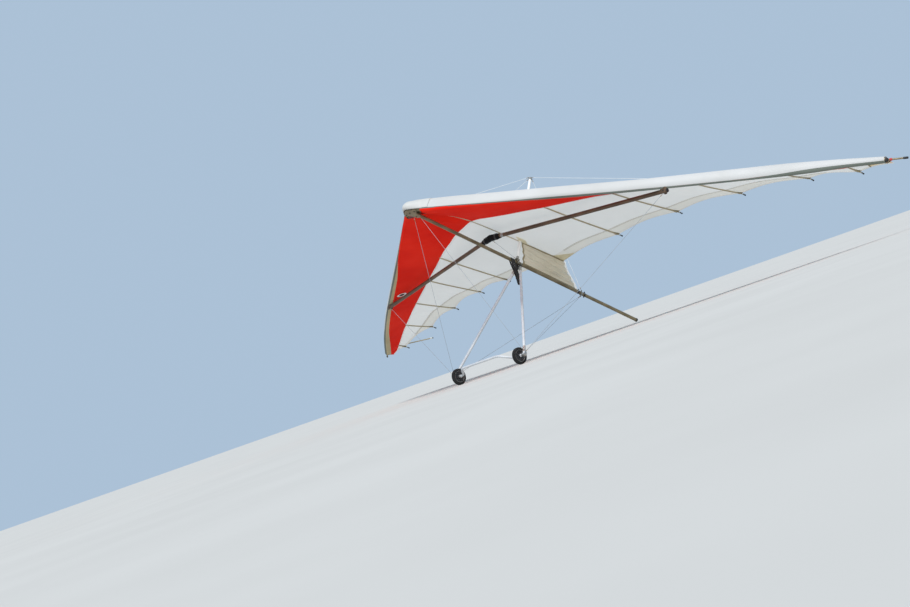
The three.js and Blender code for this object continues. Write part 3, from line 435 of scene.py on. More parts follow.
class Shape:
    """Points and faces in the keel's frame, and the material slot of each face."""

    def __init__(self):
        self.points = []
        self.faces = []
        self.slots = []
        self.count = 0

    def add(self, points, faces, slots):
        points = np.asarray(points, float).reshape(-1, 3)
        self.points.append(points)
        self.faces += [[self.count + i for i in face] for face in faces]
        self.slots += [slots] * len(faces) if isinstance(slots, int) else list(slots)
        self.count += len(points)

    def grid(self, rows, slots=0):
        """An open surface from rows of points. slots may give each cell its own slot."""
        rows = np.asarray(rows, float)
        m, n = rows.shape[:2]
        a = (np.arange(m - 1)[:, None] * n + np.arange(n - 1)).ravel()
        faces = np.stack([a, a + 1, a + n + 1, a + n], 1).tolist()
        if not isinstance(slots, int):
            slots = np.asarray(slots).ravel().tolist()
        self.add(rows, faces, slots)

    def loft(self, rings, slot=0, caps=True):
        """Closed rings joined along the body, with a flat face at each end."""
        rings = np.asarray(rings, float)
        m, n = rings.shape[:2]
        faces = []
        for r in range(m - 1):
            for i in range(n):
                j = (i + 1) % n
                faces.append([r * n + i, r * n + j, (r + 1) * n + j, (r + 1) * n + i])
        if caps:
            faces.append(list(range(n))[::-1])
            faces.append([(m - 1) * n + i for i in range(n)])
        self.add(rings, faces, slot)

    def tube(self, path, radius, sides, slot=0, caps=True):
        """A round bar along a path."""
        path = np.asarray(path, float)
        tangents = np.gradient(path, axis=0)
        across = square_to(unit(tangents[0]))
        rings = []
        for centre, along in zip(path, tangents):
            along = unit(along)
            across = unit(across - along * (across @ along))
            rings.append(centre + radius * circle(across, np.cross(along, across), sides))
        self.loft(rings, slot, caps)

    def lathe(self, centre, axis, profile, sides=32, slot=0, closed=False):
        """A turned shape: profile rows are distance along the axis and radius."""
        axis = unit(axis)
        across = square_to(axis)
        turn = circle(across, np.cross(axis, across), sides)
        rings = [np.asarray(centre) + along * axis + radius * turn for along, radius in profile]
        if closed:
            rings.append(rings[0])
        self.loft(rings, slot, caps=not closed)

    def turned(self, centre, axis, layers, slot=0, size=1.0):
        """Turned shapes on one axis, each with its number of sides and its profile."""
        for sides, profile in layers:
            self.lathe(centre, axis, [(size * a, size * r) for a, r in profile], sides, slot)

    def collar(self, centre, axis, half, radius, proud, sides=36, slot=1):
        """A band round a tube, with its edges bevelled."""
        self.lathe(centre, axis, both_sides([(-half, radius), (0.001 - half, radius + proud)]), sides, slot)

    def prism(self, outline, centre, u, v, thick, slot=0):
        """A flat outline in the directions u and v, with thickness across them."""
        u, v = unit(u), unit(v)
        w = np.cross(u, v)
        outline = np.asarray(outline, float)
        flat = np.asarray(centre) + outline[:, :1] * u + outline[:, 1:] * v
        self.loft([flat - w * thick / 2, flat + w * thick / 2], slot)

    def block(self, centre, u, v, size, slot=0):
        a, b = size[0] / 2, size[1] / 2
        self.prism([(-a, -b), (a, -b), (a, b), (-a, b)], centre, u, v, size[2], slot)

    def bolt(self, centre, axis, grip, size=0.006, slot=1):
        """A bolt through a thickness: washer and hexagon head, and washer and nut."""
        axis = unit(axis)
        for way, end in ((1, 1.02), (-1, 1.7)):
            self.turned(np.asarray(centre) + axis * way * grip / 2, axis * way, [
                (20, [(0, 1.15), (0.22, 1.15)]),
                (6, [(0.22, 0.9), (0.8, 0.9), (0.95, 0.72)]),
                (12, [(0.9, 0.45), (end, 0.42)]),
            ], slot, size)

    def ribbon(self, path, flats, width, thick, slot=0):
        """A flat strap along a path: flats gives the direction of its width at each point."""
        path = np.asarray(path, float)
        half, edge = width / 2, thick / 2
        section = [
            (-half, 0), (-half + edge, -edge), (half - edge, -edge),
            (half, 0), (half - edge, edge), (-half + edge, edge),
        ]
        rings = []
        for centre, along, flat in zip(path, np.gradient(path, axis=0), flats):
            flat = unit(flat)
            normal = unit(np.cross(along, flat))
            rings.append([centre + flat * a + normal * b for a, b in section])
        self.loft(rings, slot)


def piece(name, shape, materials, body="airframe", nodes=(), bevel=0, sharp=35):
    """Makes the object from a shape and puts it on its body."""
    mesh = bpy.data.meshes.new(name)
    points = to_part(np.concatenate(shape.points))
    mesh.from_pydata(points.tolist(), [], shape.faces)
    mesh.polygons.foreach_set("material_index", shape.slots)
    mesh.validate()
    mesh.update()
    mesh.shade_smooth()
    mesh.set_sharp_from_angle(angle=math.radians(sharp))
    for material in materials:
        mesh.materials.append(material)
    made = bpy.data.objects.new(name, mesh)
    bpy.context.scene.collection.objects.link(made)
    if bevel:
        modifier = made.modifiers.new("edges", "BEVEL")
        modifier.width = bevel
        modifier.segments = 2
        modifier.limit_method = "ANGLE"
        modifier.angle_limit = math.radians(40)
        modifier.use_clamp_overlap = True
    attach(made, body)
    if nodes:
        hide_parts(*nodes)
    return made


# Materials


def rgb(red, green, blue):
    """An sRGB colour, 0 to 255, as linear values."""
    line = []
    for value in (red, green, blue):
        share = value / 255
        line.append(share / 12.92 if share <= 0.04045 else ((share + 0.055) / 1.055) ** 2.4)
    return (*line, 1)


class Look:
    """A material's nodes. Colours are given as sRGB values, 0 to 255."""

    def __init__(self, name):
        self.material = bpy.data.materials.new(name)
        self.material.use_nodes = True
        self.tree = self.material.node_tree
        self.tree.nodes.clear()
        self.place = self.add("ShaderNodeTexCoord").outputs["Object"]

    def add(self, kind, inputs=None, **settings):
        node = self.tree.nodes.new(kind)
        for key, value in settings.items():
            setattr(node, key, value)
        for key, value in (inputs or {}).items():
            if isinstance(value, bpy.types.NodeSocket):
                self.tree.links.new(value, node.inputs[key])
            else:
                node.inputs[key].default_value = value
        return node

    def stretch(self, scale):
        return self.add("ShaderNodeMapping", {"Vector": self.place, "Scale": scale}).outputs["Vector"]

    def noise(self, scale, detail, place=None, distortion=0.0):
        return self.add("ShaderNodeTexNoise", {
            "Vector": place or self.place, "Scale": scale, "Detail": detail,
            "Distortion": distortion,
        }).outputs["Fac"]

    def waves(self, scale, direction):
        inputs = {"Vector": self.place, "Scale": scale}
        return self.add("ShaderNodeTexWave", inputs, bands_direction=direction).outputs["Fac"]

    def sum(self, a, b):
        return self.add("ShaderNodeMath", {0: a, 1: b}, operation="ADD").outputs[0]

    def ramp(self, value, *stops):
        node = self.add("ShaderNodeValToRGB", {"Fac": value})
        for element, (place, colour) in zip(node.color_ramp.elements, stops):
            element.position = place
            element.color = rgb(*colour)
        return node.outputs["Color"]

    def bump(self, height, strength, distance, under=None):
        inputs = {"Height": height, "Strength": strength, "Distance": distance}
        if under is not None:
            inputs["Normal"] = under
        return self.add("ShaderNodeBump", inputs).outputs["Normal"]

    def range(self, value, low, high):
        return self.add("ShaderNodeMapRange", {
            "Value": value, "From Min": 0.3, "From Max": 0.7, "To Min": low, "To Max": high,
        }).outputs["Result"]

    def coat(self, **inputs):
        """The main shader, with an input's name written with underscores for its spaces."""
        named = {key.replace("_", " "): value for key, value in inputs.items()}
        return self.add("ShaderNodeBsdfPrincipled", named).outputs[0]

    def finish(self, shader):
        self.add("ShaderNodeOutputMaterial", {"Surface": shader})
        return self.material


def cloth(
    name, colour, shade, through=0.3, rough=0.62, thread=230.0, crease=0.25, glow=None,
    sheen=0.1, gloss=0.25,
):
    """Sailcloth: woven threads, faint soft creases and light that comes through it."""
    look = Look(name)
    base = look.ramp(look.noise(1.6, 4.0), (0.34, shade), (0.66, colour))
    threads = look.sum(look.waves(thread, "X"), look.waves(thread, "Y"))
    woven = look.bump(threads, 0.12, 0.0002)
    creases = look.noise(2.3, 5.0, look.stretch((0.8, 2.6, 2.6)), 0.6)
    normal = look.bump(creases, crease, 0.02, woven)
    roughness = look.range(look.noise(9.0, 3.0), rough - 0.06, rough + 0.06)
    surface = look.coat(
        Base_Color=base, Roughness=roughness, Normal=normal, Sheen_Weight=sheen,
        Specular_IOR_Level=gloss,
    )
    inputs = {"Color": rgb(*(glow or colour)), "Normal": normal}
    light = look.add("ShaderNodeBsdfTranslucent", inputs).outputs[0]
    return look.finish(look.add("ShaderNodeMixShader", {0: through, 1: surface, 2: light}).outputs[0])


def metal(name, colour, shade, rough=0.35, metallic=0.9, grain=90.0):
    """Drawn or machined metal with fine marks and dull patches."""
    look = Look(name)
    base = look.ramp(look.noise(6.0, 5.0), (0.32, shade), (0.68, colour))
    roughness = look.range(look.noise(38.0, 4.0), rough - 0.08, rough + 0.1)
    normal = look.bump(look.noise(grain, 3.0), 0.08, 0.0004)
    return look.finish(look.coat(
        Base_Color=base, Roughness=roughness, Metallic=metallic, Normal=normal,
    ))


def plastic(name, colour, shade, rough=0.5, grain=420.0, strength=0.2):
    """Moulded plastic or rubber with a fine grain and a little dust."""
    look = Look(name)
    base = look.ramp(look.noise(14.0, 4.0), (0.35, colour), (0.72, shade))
    roughness = look.range(look.noise(30.0, 3.0), rough - 0.08, rough + 0.1)
    normal = look.bump(look.noise(grain, 2.0), strength, 0.0004)
    return look.finish(look.coat(Base_Color=base, Roughness=roughness, Normal=normal))


def woven_strap(name, colour, shade):
    look = Look(name)
    base = look.ramp(look.noise(55.0, 3.0), (0.3, shade), (0.7, colour))
    ribs = look.sum(look.waves(150.0, "Z"), look.waves(110.0, "X"))
    normal = look.bump(ribs, 0.5, 0.0006)
    return look.finish(look.coat(Base_Color=base, Roughness=0.85, Sheen_Weight=0.3, Normal=normal))


WHITE = cloth("sail_white", (236, 234, 228), (228, 226, 219), 0.4)
REAR_WHITE = cloth("sail_rear_panel", (232, 228, 217), (217, 213, 201), 0.36)
HEM_WHITE = cloth("sail_hem", (232, 227, 216), (214, 209, 198), 0.26, crease=0.4)
CONE = cloth("nose_cone_white", (202, 201, 197), (193, 192, 188), 0.06, 0.42, crease=0.05)
EDGE_WHITE = cloth("edge_white", (201, 200, 198), (193, 192, 189), 0.06, 0.5, crease=0.12)
TRIM_WHITE = cloth("trim_white", (252, 252, 249), (244, 243, 238), 0.1, 0.5, crease=0.1)
# a dark greenish strip of painted shade on the underside of the pocket's nose
STRIP_PAINTED_SHADE = cloth("edge_strip_painted_shade", (118, 123, 115), (100, 105, 97), 0.0, sheen=0, gloss=0.1)
# beige: the cloth's own colour by the nose, and painted shade where its strip widens over the red near the
# tip
STRIP_INNER = cloth("edge_strip_inner", (198, 184, 146), (178, 164, 128), 0.0, sheen=0, gloss=0.1)
RED = cloth(
    "under_red", (248, 46, 28), (234, 34, 20), 0.06, 0.8, crease=0.12, glow=(255, 52, 26),
    sheen=0, gloss=0.06,
)
# a dark red sheet of painted shade that stands for the inside of the opening beside the crossbar's end
OPENING_PAINTED_SHADE = cloth("under_opening_painted_shade", (88, 16, 12), (56, 11, 9), 0.05, 0.8, sheen=0, gloss=0.06)
TAN = cloth("seam_tan", (198, 184, 152), (172, 158, 128), 0.1, crease=0.1)
SEAM = cloth("seam_pale", (184, 176, 156), (164, 156, 138), 0.1, crease=0.1)
CORNER = cloth("corner_patch", (236, 226, 194), (220, 210, 178), 0.2, crease=0.2)
POCKET_TAPE = cloth("batten_pocket_tape", (188, 177, 148), (162, 151, 122), 0.1, crease=0.1)
# tan painted shade for the cloth aft of the tip strut, where it slopes away from the light
TIP_PAINTED_SHADE = cloth("tip_painted_shade", (228, 204, 154), (212, 186, 136), 0.3)
BEIGE = cloth("keel_pocket_beige", (218, 211, 192), (200, 192, 170), 0.2, crease=0.7)
BEIGE_DARK = cloth("keel_pocket_front", (158, 146, 116), (138, 126, 98), 0.1)
# olive: the batten ends' patches, and the painted shadow of the tip strut along its line under the cloth
PATCH_AND_STRUT_SHADOW = cloth("patch_olive_and_strut_shadow", (136, 126, 98), (112, 104, 80), 0.05, sheen=0)
KEEL_METAL = metal("keel_olive", (138, 125, 98), (109, 97, 72), 0.36, 0.45)
NOSE_METAL = metal("nose_plate_olive", (156, 142, 114), (118, 104, 80), 0.42, 0.4)
CROSS_METAL = metal("crossbar_brown", (104, 82, 62), (78, 60, 45), 0.38, 0.4)
BRIGHT = metal("bright_tube", (208, 212, 214), (188, 192, 196), 0.5, 0.05)
DULL = metal("dull_band", (152, 150, 146), (120, 118, 114), 0.5, 0.4)
STEEL = metal("steel_fitting", (188, 188, 184), (150, 150, 146), 0.36, 0.8)
PLATE = metal("plate_grey", (112, 106, 90), (82, 78, 66), 0.45, 0.6)
WIRE = metal("stay_wire", (168, 174, 178), (142, 148, 152), 0.5, 0.2, 600.0)
# the upper stays' wire is the same steel as the lower stays' wire, painted near-white as painted sunlight
WIRE_PAINTED_SUNLIT = metal("upper_stay_wire_painted_sunlight", (244, 244, 240), (226, 226, 222), 0.5, 0.1, 600.0)
SLEEVE = metal("crimp_sleeve", (176, 140, 100), (140, 108, 76), 0.4, 0.7)
BATTEN = metal("batten_tube", (178, 164, 134), (150, 138, 110), 0.45, 0.4)
WHITE_PAINT = plastic("white_paint", (240, 240, 238), (222, 222, 218), 0.36, 200.0, 0.05)
BLACK = plastic("black_plastic", (18, 18, 20), (36, 36, 36), 0.5)
GREY_PLASTIC = plastic("wheel_grey", (36, 36, 38), (56, 56, 58), 0.5)
RUBBER = plastic("tyre_rubber", (11, 11, 12), (26, 25, 24), 0.82, 260.0, 0.35)
PALE_PLASTIC = plastic("pale_plastic", (226, 224, 212), (200, 198, 186), 0.45)
RED_PLASTIC = plastic("red_plastic", (200, 40, 26), (160, 28, 20), 0.45)
WEBBING = woven_strap("black_webbing", (18, 18, 20), (9, 9, 11))
PAD_CLOTH = cloth(
    "pad_cloth", (24, 24, 26), (14, 14, 16), 0.0, 0.85, 150.0, 0.5, sheen=0.05, gloss=0.1,
)


# Cloth of the wing

SPAN_STEPS = 132
STATIONS = np.unique(np.round(np.concatenate([
    np.linspace(0, TIP_X, SPAN_STEPS), [row[0] for row in BATTENS], [NOSE_OPENING],
]), 5))


def column(lines, counts):
    """Chordwise places from one line to the next, for each station."""
    parts = []
    for start, end, count in zip(lines, lines[1:], counts):
        parts.append(lerp(start[:, None], end[:, None], np.linspace(0, 1, count + 1)[:-1]))
    return np.concatenate([*parts, lines[-1][:, None]], 1)


def strut_line(x):
    """How far aft the tip strut lies above the cloth, out along the span."""
    return lerp(edge_y(STRUT_X), STRUT_END[1], (STRUT_X - x) / (STRUT_X - STRUT_END[0]))


def make_sail(label, side):
    """The upper cloth: main panel, rear panel, hem, and tan painted shade on the cloth behind the tip
    strut.
    """
    counts = (18, 30, 10, 2)
    red, seam, trail = red_line(STATIONS, label), seam_line(STATIONS, label), trail_y(STATIONS)
    y = column([
        np.minimum(cloth_front(STATIONS), red - 2 * PANEL_LEAST), red, seam,
        np.maximum(trail - HEM, seam + PANEL_LEAST), trail,
    ], counts)
    x = STATIONS[:, None]
    slots = np.repeat([0, 0, 1, 2], counts)
    middle = (x[1:] + x[:-1]) / 2
    ahead = (y[1:, 1:] + y[:-1, :-1]) / 2
    # cells aft of the tip strut's line near the tip take the tan painted shade
    shaded_tip = (ahead > strut_line(middle)) & (middle > TIP_SHADE_FROM) & (slots < 2)
    shape = Shape()
    shape.grid(on_cloth(x, y, side), np.where(shaded_tip, 3, slots))
    sail = piece(
        f"sail_cloth_{label}", shape, [WHITE, REAR_WHITE, HEM_WHITE, TIP_PAINTED_SHADE],
        nodes=[f"sail_{label}"], sharp=60,
    )


def nose_arc(x, degrees):
    """Offsets from the tube's centre, round the nose of the pocket from top to bottom."""
    angle = np.radians(degrees)
    height = np.where(np.sin(angle) > 0, table(CROWN, x), table(NOSE_DEPTH, x))
    reach = POCKET_NOSE / math.cos(SWEEP)
    return POCKET_BACK + reach * np.cos(angle), height * np.sin(angle)


def make_pocket(label, side):
    """The white skin over the leading edge, from its rear seam forward and round the nose."""
    x = STATIONS[STATIONS >= NOSE_OPENING][:, None]
    y = column([pocket_rear(x[:, 0]), edge_y(x[:, 0]) + POCKET_BACK], (12,))
    degrees = lerp(90, table(SKIN_SEAM, x), np.linspace(0, 1, 27)[1:])
    dy, dz = nose_arc(x, degrees)
    skin = points_at(side * x, edge_y(x) + dy, edge_z(x) + dz)
    shape = Shape()
    shape.grid(np.concatenate([on_cloth(x, y, side, -SKIN_LIFT), skin], 1))
    pocket = piece(
        f"leading_edge_skin_{label}", shape, [EDGE_WHITE],
        nodes=[f"leading_edge_pocket_{label}"], sharp=60,
    )


def red_front(x):
    behind = edge_y(np.maximum(x, NOSE_OPENING)) + POCKET_BACK
    return np.where(x < NOSE_OPENING, lerp(UNDER_START, behind, x / NOSE_OPENING), behind)


def red_z(x, y, label):
    """The undersurface: taut from the bottom of the pocket's nose back to the upper cloth."""
    start, end = red_front(x), red_line(x, label)
    share = np.clip((y - start) / (end - start), 0, 1)
    low = edge_z(x) - table(NOSE_DEPTH, x)
    high = cloth_z(x, end) - BELOW["undersurface_rear"]
    # It sags most between 0.5 and 1.1 m out, and not at all from 1.7 m
    sag = UNDER_SAG * np.sin(math.pi * share) * smooth_step(x / 0.5) * smooth_step((1.7 - x) / 0.6)
    under = cloth_z(x, y) - BELOW["undersurface"]
    return np.minimum(lerp(under, lerp(low, high, share) - sag, smooth_step(x / 0.14)), under)


def make_undersurface(label, side):
    """The red undersurface, with a dark greenish strip of painted shade between it and the white skin, and
    a beige strip along its front.
    """
    x = STATIONS[:, None]
    strip, flat = 14, 40
    front, rear, width = red_front(STATIONS), red_line(STATIONS, label), table(STRIP_WIDTH, STATIONS)
    strip_rear = np.minimum(front + np.maximum(width, 0.01), rear - 0.02)
    y = column([front, strip_rear, rear], (6, flat - 6))
    plain = points_at(side * x, y, red_z(x, y, label))
    around = np.maximum(x, NOSE_OPENING)
    degrees = lerp(table(SKIN_SEAM, around), 270, np.linspace(0, 1, strip + 1))
    dy, dz = nose_arc(around, degrees[:, :-1])
    inside = x < NOSE_OPENING
    dy = np.where(inside, (degrees[:, :-1] - 270) * 1e-5, dy - POCKET_BACK)
    dz = np.where(inside, 0, dz + table(NOSE_DEPTH, around))
    arc = points_at(side * x, plain[:, :1, 1] + dy, plain[:, :1, 2] + dz - 0.0008)
    middle = (degrees[:, :-1] + degrees[:, 1:]) / 2
    reach = (y[:, :-1] + y[:, 1:]) / 2 - y[:, :1]
    # cells of the painted shade strip round the nose, and of the beige strip behind it
    painted_shade_and_beige = np.concatenate([middle < table(STRIP_END, around), reach < width[:, None]], 1)
    shape = Shape()
    shape.grid(np.concatenate([arc, plain], 1), np.where(painted_shade_and_beige[1:], np.repeat([1, 2], (strip, flat)), 0))
    made = piece(f"undersurface_{label}", shape, [RED, STRIP_PAINTED_SHADE, STRIP_INNER], sharp=60)


def make_mouth(label, side):
    """The opening in the undersurface beside the end of the crossbar, drawn as its white binding round a
    dark red sheet of painted shade just below the cloth.
    """
    reach = (mirrored(junction_frame(side)[1], side) - CROSSBAR_CENTRE)[:2]
    along = unit(reach)
    across = np.array([-along[1], along[0]])
    centre = CROSSBAR_CENTRE[:2] + along * (np.linalg.norm(reach) - MOUTH_FROM_END)
    angles = np.linspace(0, 2 * math.pi, 49)[:, None]
    oval = along * MOUTH_LENGTH / 2 * np.cos(angles) + across * MOUTH_WIDTH / 2 * np.sin(angles)
    shares = np.array([0.0, 0.3, 0.55, 0.76, 0.88, 1.0])
    x, y = np.moveaxis(centre + shares[:, None, None] * oval, -1, 0)
    shape = Shape()
    # the inner rings take the dark red of painted shade, the outer rings the white binding
    shape.grid(points_at(side * x, y, red_z(x, y, label) - 0.0025), np.repeat([1, 1, 0, 0, 0], 48))
    piece(f"crossbar_opening_rim_and_shade_{label}", shape, [TRIM_WHITE, OPENING_PAINTED_SHADE], sharp=60)


def tape_under(shape, x, y, half, side, kind, slot):
    """A tape on the underside of the cloth, along a line of span and aft places."""
    line = np.stack([x, y], 1)
    along = np.gradient(line, axis=0)
    along /= np.linalg.norm(along, axis=1)[:, None]
    across = np.stack([-along[:, 1], along[:, 0]], 1)
    flat = line[:, None] + across[:, None] * np.array([-half, 0, half])[:, None]
    shape.grid(on_cloth(np.maximum(flat[..., 0], 0), flat[..., 1], side, BELOW[kind]), slot)


def make_trim(label, side):
    """Seam tapes under the cloth: root, red boundary, rear panel seam and corner patch, and an olive strip
    of painted shadow along the tip strut's line.
    """
    shape = Shape()
    y = np.linspace(-1.37, ROOT_TRAIL[1] - 0.004, 80)[:, None]
    shape.grid(on_cloth(np.array([0.0, 0.012]), y, side, BELOW["root_tape"]))
    xs = STATIONS[(STATIONS > 0.01) & (STATIONS < 4.64)]
    tape_under(shape, xs, red_line(xs, label) + 0.004, 0.006, side, "red_tape", 1)
    xs = STATIONS[(STATIONS > 0.2) & (STATIONS < TIP_SHADE_FROM)]
    for back in (0.0, 0.016):
        tape_under(shape, xs, seam_line(xs, label) + back, 0.0028, side, "seam_tape", 2)
    # an olive strip under the cloth along the tip strut's line: painted shadow of the strut, which lies
    # above the cloth
    xs = np.linspace(STRUT_X - 0.012, STRUT_X - 0.16, 24)
    xs = xs[strut_line(xs) < trail_y(xs) - 0.004]
    tape_under(shape, xs, strut_line(xs), 0.006, side, "strut_painted_shadow", 4)
    front, outer, rear = np.array([[0.0, 0.482], [0.31, 0.645], [0.0, 0.672]])
    t = np.linspace(0, 1, 9)[:, None, None]
    patch = lerp(lerp(front, outer, t), lerp(front, rear, t), t[:, 0])
    y = np.minimum(patch[..., 1], trail_y(patch[..., 0]) - 0.002)
    shape.grid(on_cloth(patch[..., 0], y, side, BELOW["corner_patch"]), 3)
    looks = [TAN, TRIM_WHITE, SEAM, CORNER, PATCH_AND_STRUT_SHADOW]
    piece(f"sail_tapes_{label}", shape, looks, sharp=60)


def make_battens(label, side):
    """The battens with their end caps, and their pockets under the cloth."""
    for number, (x, end_y, end_z) in enumerate(BATTENS, 1):
        front, rear = float(cloth_front(x)), float(trail_y(x))
        y = np.append(np.linspace(front + 0.012, rear, 40), end_y)
        z = cloth_z(x, y) - BELOW["batten"]
        z[-1] = end_z - BATTEN_END_DROP
        shape = Shape()
        shape.tube(points_at(side * x, y, z), BATTEN_ROD, 12)
        shape.lathe((side * x, end_y - 0.012, z[-1]), Y, BATTEN_END, 16, 1)
        piece(
            f"batten_rod_{label}_{number}", shape, [BATTEN, BLACK],
            nodes=[f"batten_{label}_{number}"],
        )
        start = max(float(red_line(x, label)) - 0.02, front + 0.02)
        y = np.linspace(start, rear - 0.004, 50)[:, None]
        out, low = np.array(POCKET_SECTION).T
        shape = Shape()
        shape.grid(on_cloth(x + out, y, side, low), np.tile([1, 0, 0, 0, 0, 0, 0, 1], len(y) - 1))
        y = np.linspace(rear - 0.1, rear - 0.002, 14)[:, None]
        spread = np.array([-1.0, -0.5, 0, 0.5, 1.0])
        half = lerp(0.012, 0.03, smooth_step((y - y[0]) / 0.08)) * spread
        shape.grid(on_cloth(x + half, y, side, 0.0105 - 0.008 * np.abs(spread) ** 0.5), 2)
        name = f"batten_pocket_{label}_{number}"
        piece(name, shape, [POCKET_TAPE, REAR_WHITE, PATCH_AND_STRUT_SHADOW], sharp=60)


# Nose


def nose_front(x):
    middle = -KEEL_AHEAD - NOSE_PLATE_FRONT - NOSE_CONE_AHEAD
    side = edge_y(NOSE_OPENING) - POCKET_NOSE / math.cos(SWEEP) - 0.018
    pull = (side - middle) / (math.hypot(NOSE_OPENING, NOSE_CONE_ROUND) - NOSE_CONE_ROUND)
    return middle + (np.hypot(x, NOSE_CONE_ROUND) - NOSE_CONE_ROUND) * pull


def evenly(points, count):
    """Points the same distance apart along a line, rounded a little at its corners."""
    points = np.asarray(points, float)
    for _ in range(3):
        inner = np.stack([lerp(points[:-1], points[1:], 0.25), lerp(points[:-1], points[1:], 0.75)], 1)
        points = np.concatenate([points[:1], inner.reshape(-1, points.shape[1]), points[-1:]])
    far = np.concatenate([[0], np.cumsum(np.linalg.norm(np.diff(points, axis=0), axis=1))])
    at = np.linspace(0, far[-1], count)
    return np.stack([np.interp(at, far, points[:, k]) for k in range(points.shape[1])], 1)


def make_nose_cone():
    """The white fairing: its own line in the middle, and the wing skin's line at each side."""
    rows = []
    steps = 28
    for x in np.linspace(-NOSE_CONE_HALF, NOSE_CONE_HALF, NOSE_CONE_STATIONS):
        out = abs(x)
        front = nose_front(min(out, NOSE_OPENING))
        middle = [(front + behind, up) for behind, up in NOSE_CONE_RISE]
        for i, (y, up) in enumerate(middle[:NOSE_CONE_OVER_CLOTH]):
            middle[i] = (y, max(up, float(cloth_z(out, y)) + 0.012))
        wide = max(out, NOSE_OPENING)
        shift = nose_front(out) - nose_front(wide)
        back = edge_y(wide) + NOSE_CONE_BACK
        skin = [
            (y + shift * (back - y) / NOSE_CONE_BACK, float(cloth_z(wide, y)) + 0.003)
            for y in np.linspace(back, edge_y(wide) + POCKET_BACK, 8)
        ]
        for degrees in np.linspace(96, lerp(208, 186, out / NOSE_CONE_HALF), 16):
            dy, dz = nose_arc(wide, degrees)
            # a little outside the skin, which the fairing covers
            skin.append((shift + edge_y(wide) + dy * 1.06 - 0.002, edge_z(wide) + dz * 1.015 + 0.001))
        blend = float(smooth_step((out - 0.02) / 0.15))
        line = lerp(evenly(middle, steps), evenly(skin, steps), blend)
        rear = -KEEL_AHEAD + NOSE_CONE_REAR + NOSE_CONE_REAR_SWEEP * (out / NOSE_CONE_HALF) ** 2
        tip = line[:, 0].min()
        line[:, 0] += (rear - line[0, 0]) * ((line[:, 0] - tip) / (line[0, 0] - tip)) ** 2
        above = np.maximum(line[:, 1], cloth_z(out, line[:, 0]) + 0.004)
        line[:, 1] = np.where(line[:, 0] > cloth_front(out), above, line[:, 1])
        rows.append([(x, y, z) for y, z in line])
    shape = Shape()
    shape.grid(rows)
    cone = piece("nose_fairing", shape, [CONE], nodes=["nose_cone"], sharp=60)
    solid = cone.modifiers.new("thickness", "SOLIDIFY")
    solid.thickness = 0.002
    solid.offset = 0
    studs = Shape()
    for x in (-0.2, -0.13, 0.13, 0.2):
        row = rows[round((x / NOSE_CONE_HALF + 1) / 2 * (NOSE_CONE_STATIONS - 1))]
        for k in (5, 11):
            here, after = np.array(row[k]), np.array(row[k + 1])
            normal = unit(np.cross(X, after - here))
            normal = normal if normal[2] > 0 else -normal
            studs.lathe(here + normal * 0.0005, normal, [(0, 0.0045), (0.002, 0.004), (0.003, 0.002)], 12)
    piece("nose_fairing_studs", studs, [PLATE])


def make_nose_plates():
    for name, way in (("upper", 1), ("lower", -1)):
        height = way * (EDGE_RADIUS + PLATE_THICK / 2)
        shape = Shape()
        outline = [(x, behind - KEEL_AHEAD) for x, behind in NOSE_PLATE_HALF]
        for side in (1, -1):
            u = unit((1, 0, side * EDGE_SLOPE))
            shape.prism(on_side(outline, side), Z * (height + way * 0.0009), u, Y, PLATE_THICK)
        for x, behind in NOSE_BOLTS:
            face = (x, behind - KEEL_AHEAD, height + way * 0.0035 + EDGE_SLOPE * abs(x))
            shape.turned(face, Z * way, NOSE_BOLT_LAYERS, 1)
        piece(
            f"nose_plate_{name}_dressed", shape, [NOSE_METAL, PLATE],
            nodes=[f"nose_plate_{name}"], bevel=0.0008,
        )


# Tubes of the frame


def make_keel():
    shape = Shape()
    front = -KEEL_AHEAD + GAP
    sleeve = front + KEEL_NOSE_LENGTH
    shape.lathe((0, 0, 0), Y, [
        (front, KEEL_NOSE_RADIUS - 0.0015), (front + 0.0015, KEEL_NOSE_RADIUS),
        (sleeve, KEEL_NOSE_RADIUS), (sleeve + 0.006, KEEL_RADIUS),
        (KEEL_BEHIND - END_CAP_LENGTH, KEEL_RADIUS),
    ], 40)
    for y in (-0.62, 0.34, 1.52):
        for x in (-1, 1):
            shape.lathe((x * (KEEL_RADIUS - 0.0008), y, 0), X * x, [(0, 0.004), (0.0015, 0.0035)], 12, 1)
    piece("keel", shape, [KEEL_METAL, STEEL], nodes=["keel_tube"])
    shape = Shape()
    proud = KEEL_RADIUS + 0.0018
    shape.lathe(Y * KEEL_BEHIND, Y, [
        (-END_CAP_LENGTH, proud - 0.0006), (0.001 - END_CAP_LENGTH, proud), (-0.003, proud),
        (-0.001, KEEL_RADIUS), (0, KEEL_RADIUS - 0.003), (0, 0.008), (-0.003, 0.006),
    ], 40)
    piece("keel_cap", shape, [BLACK], nodes=["keel_end_cap"])


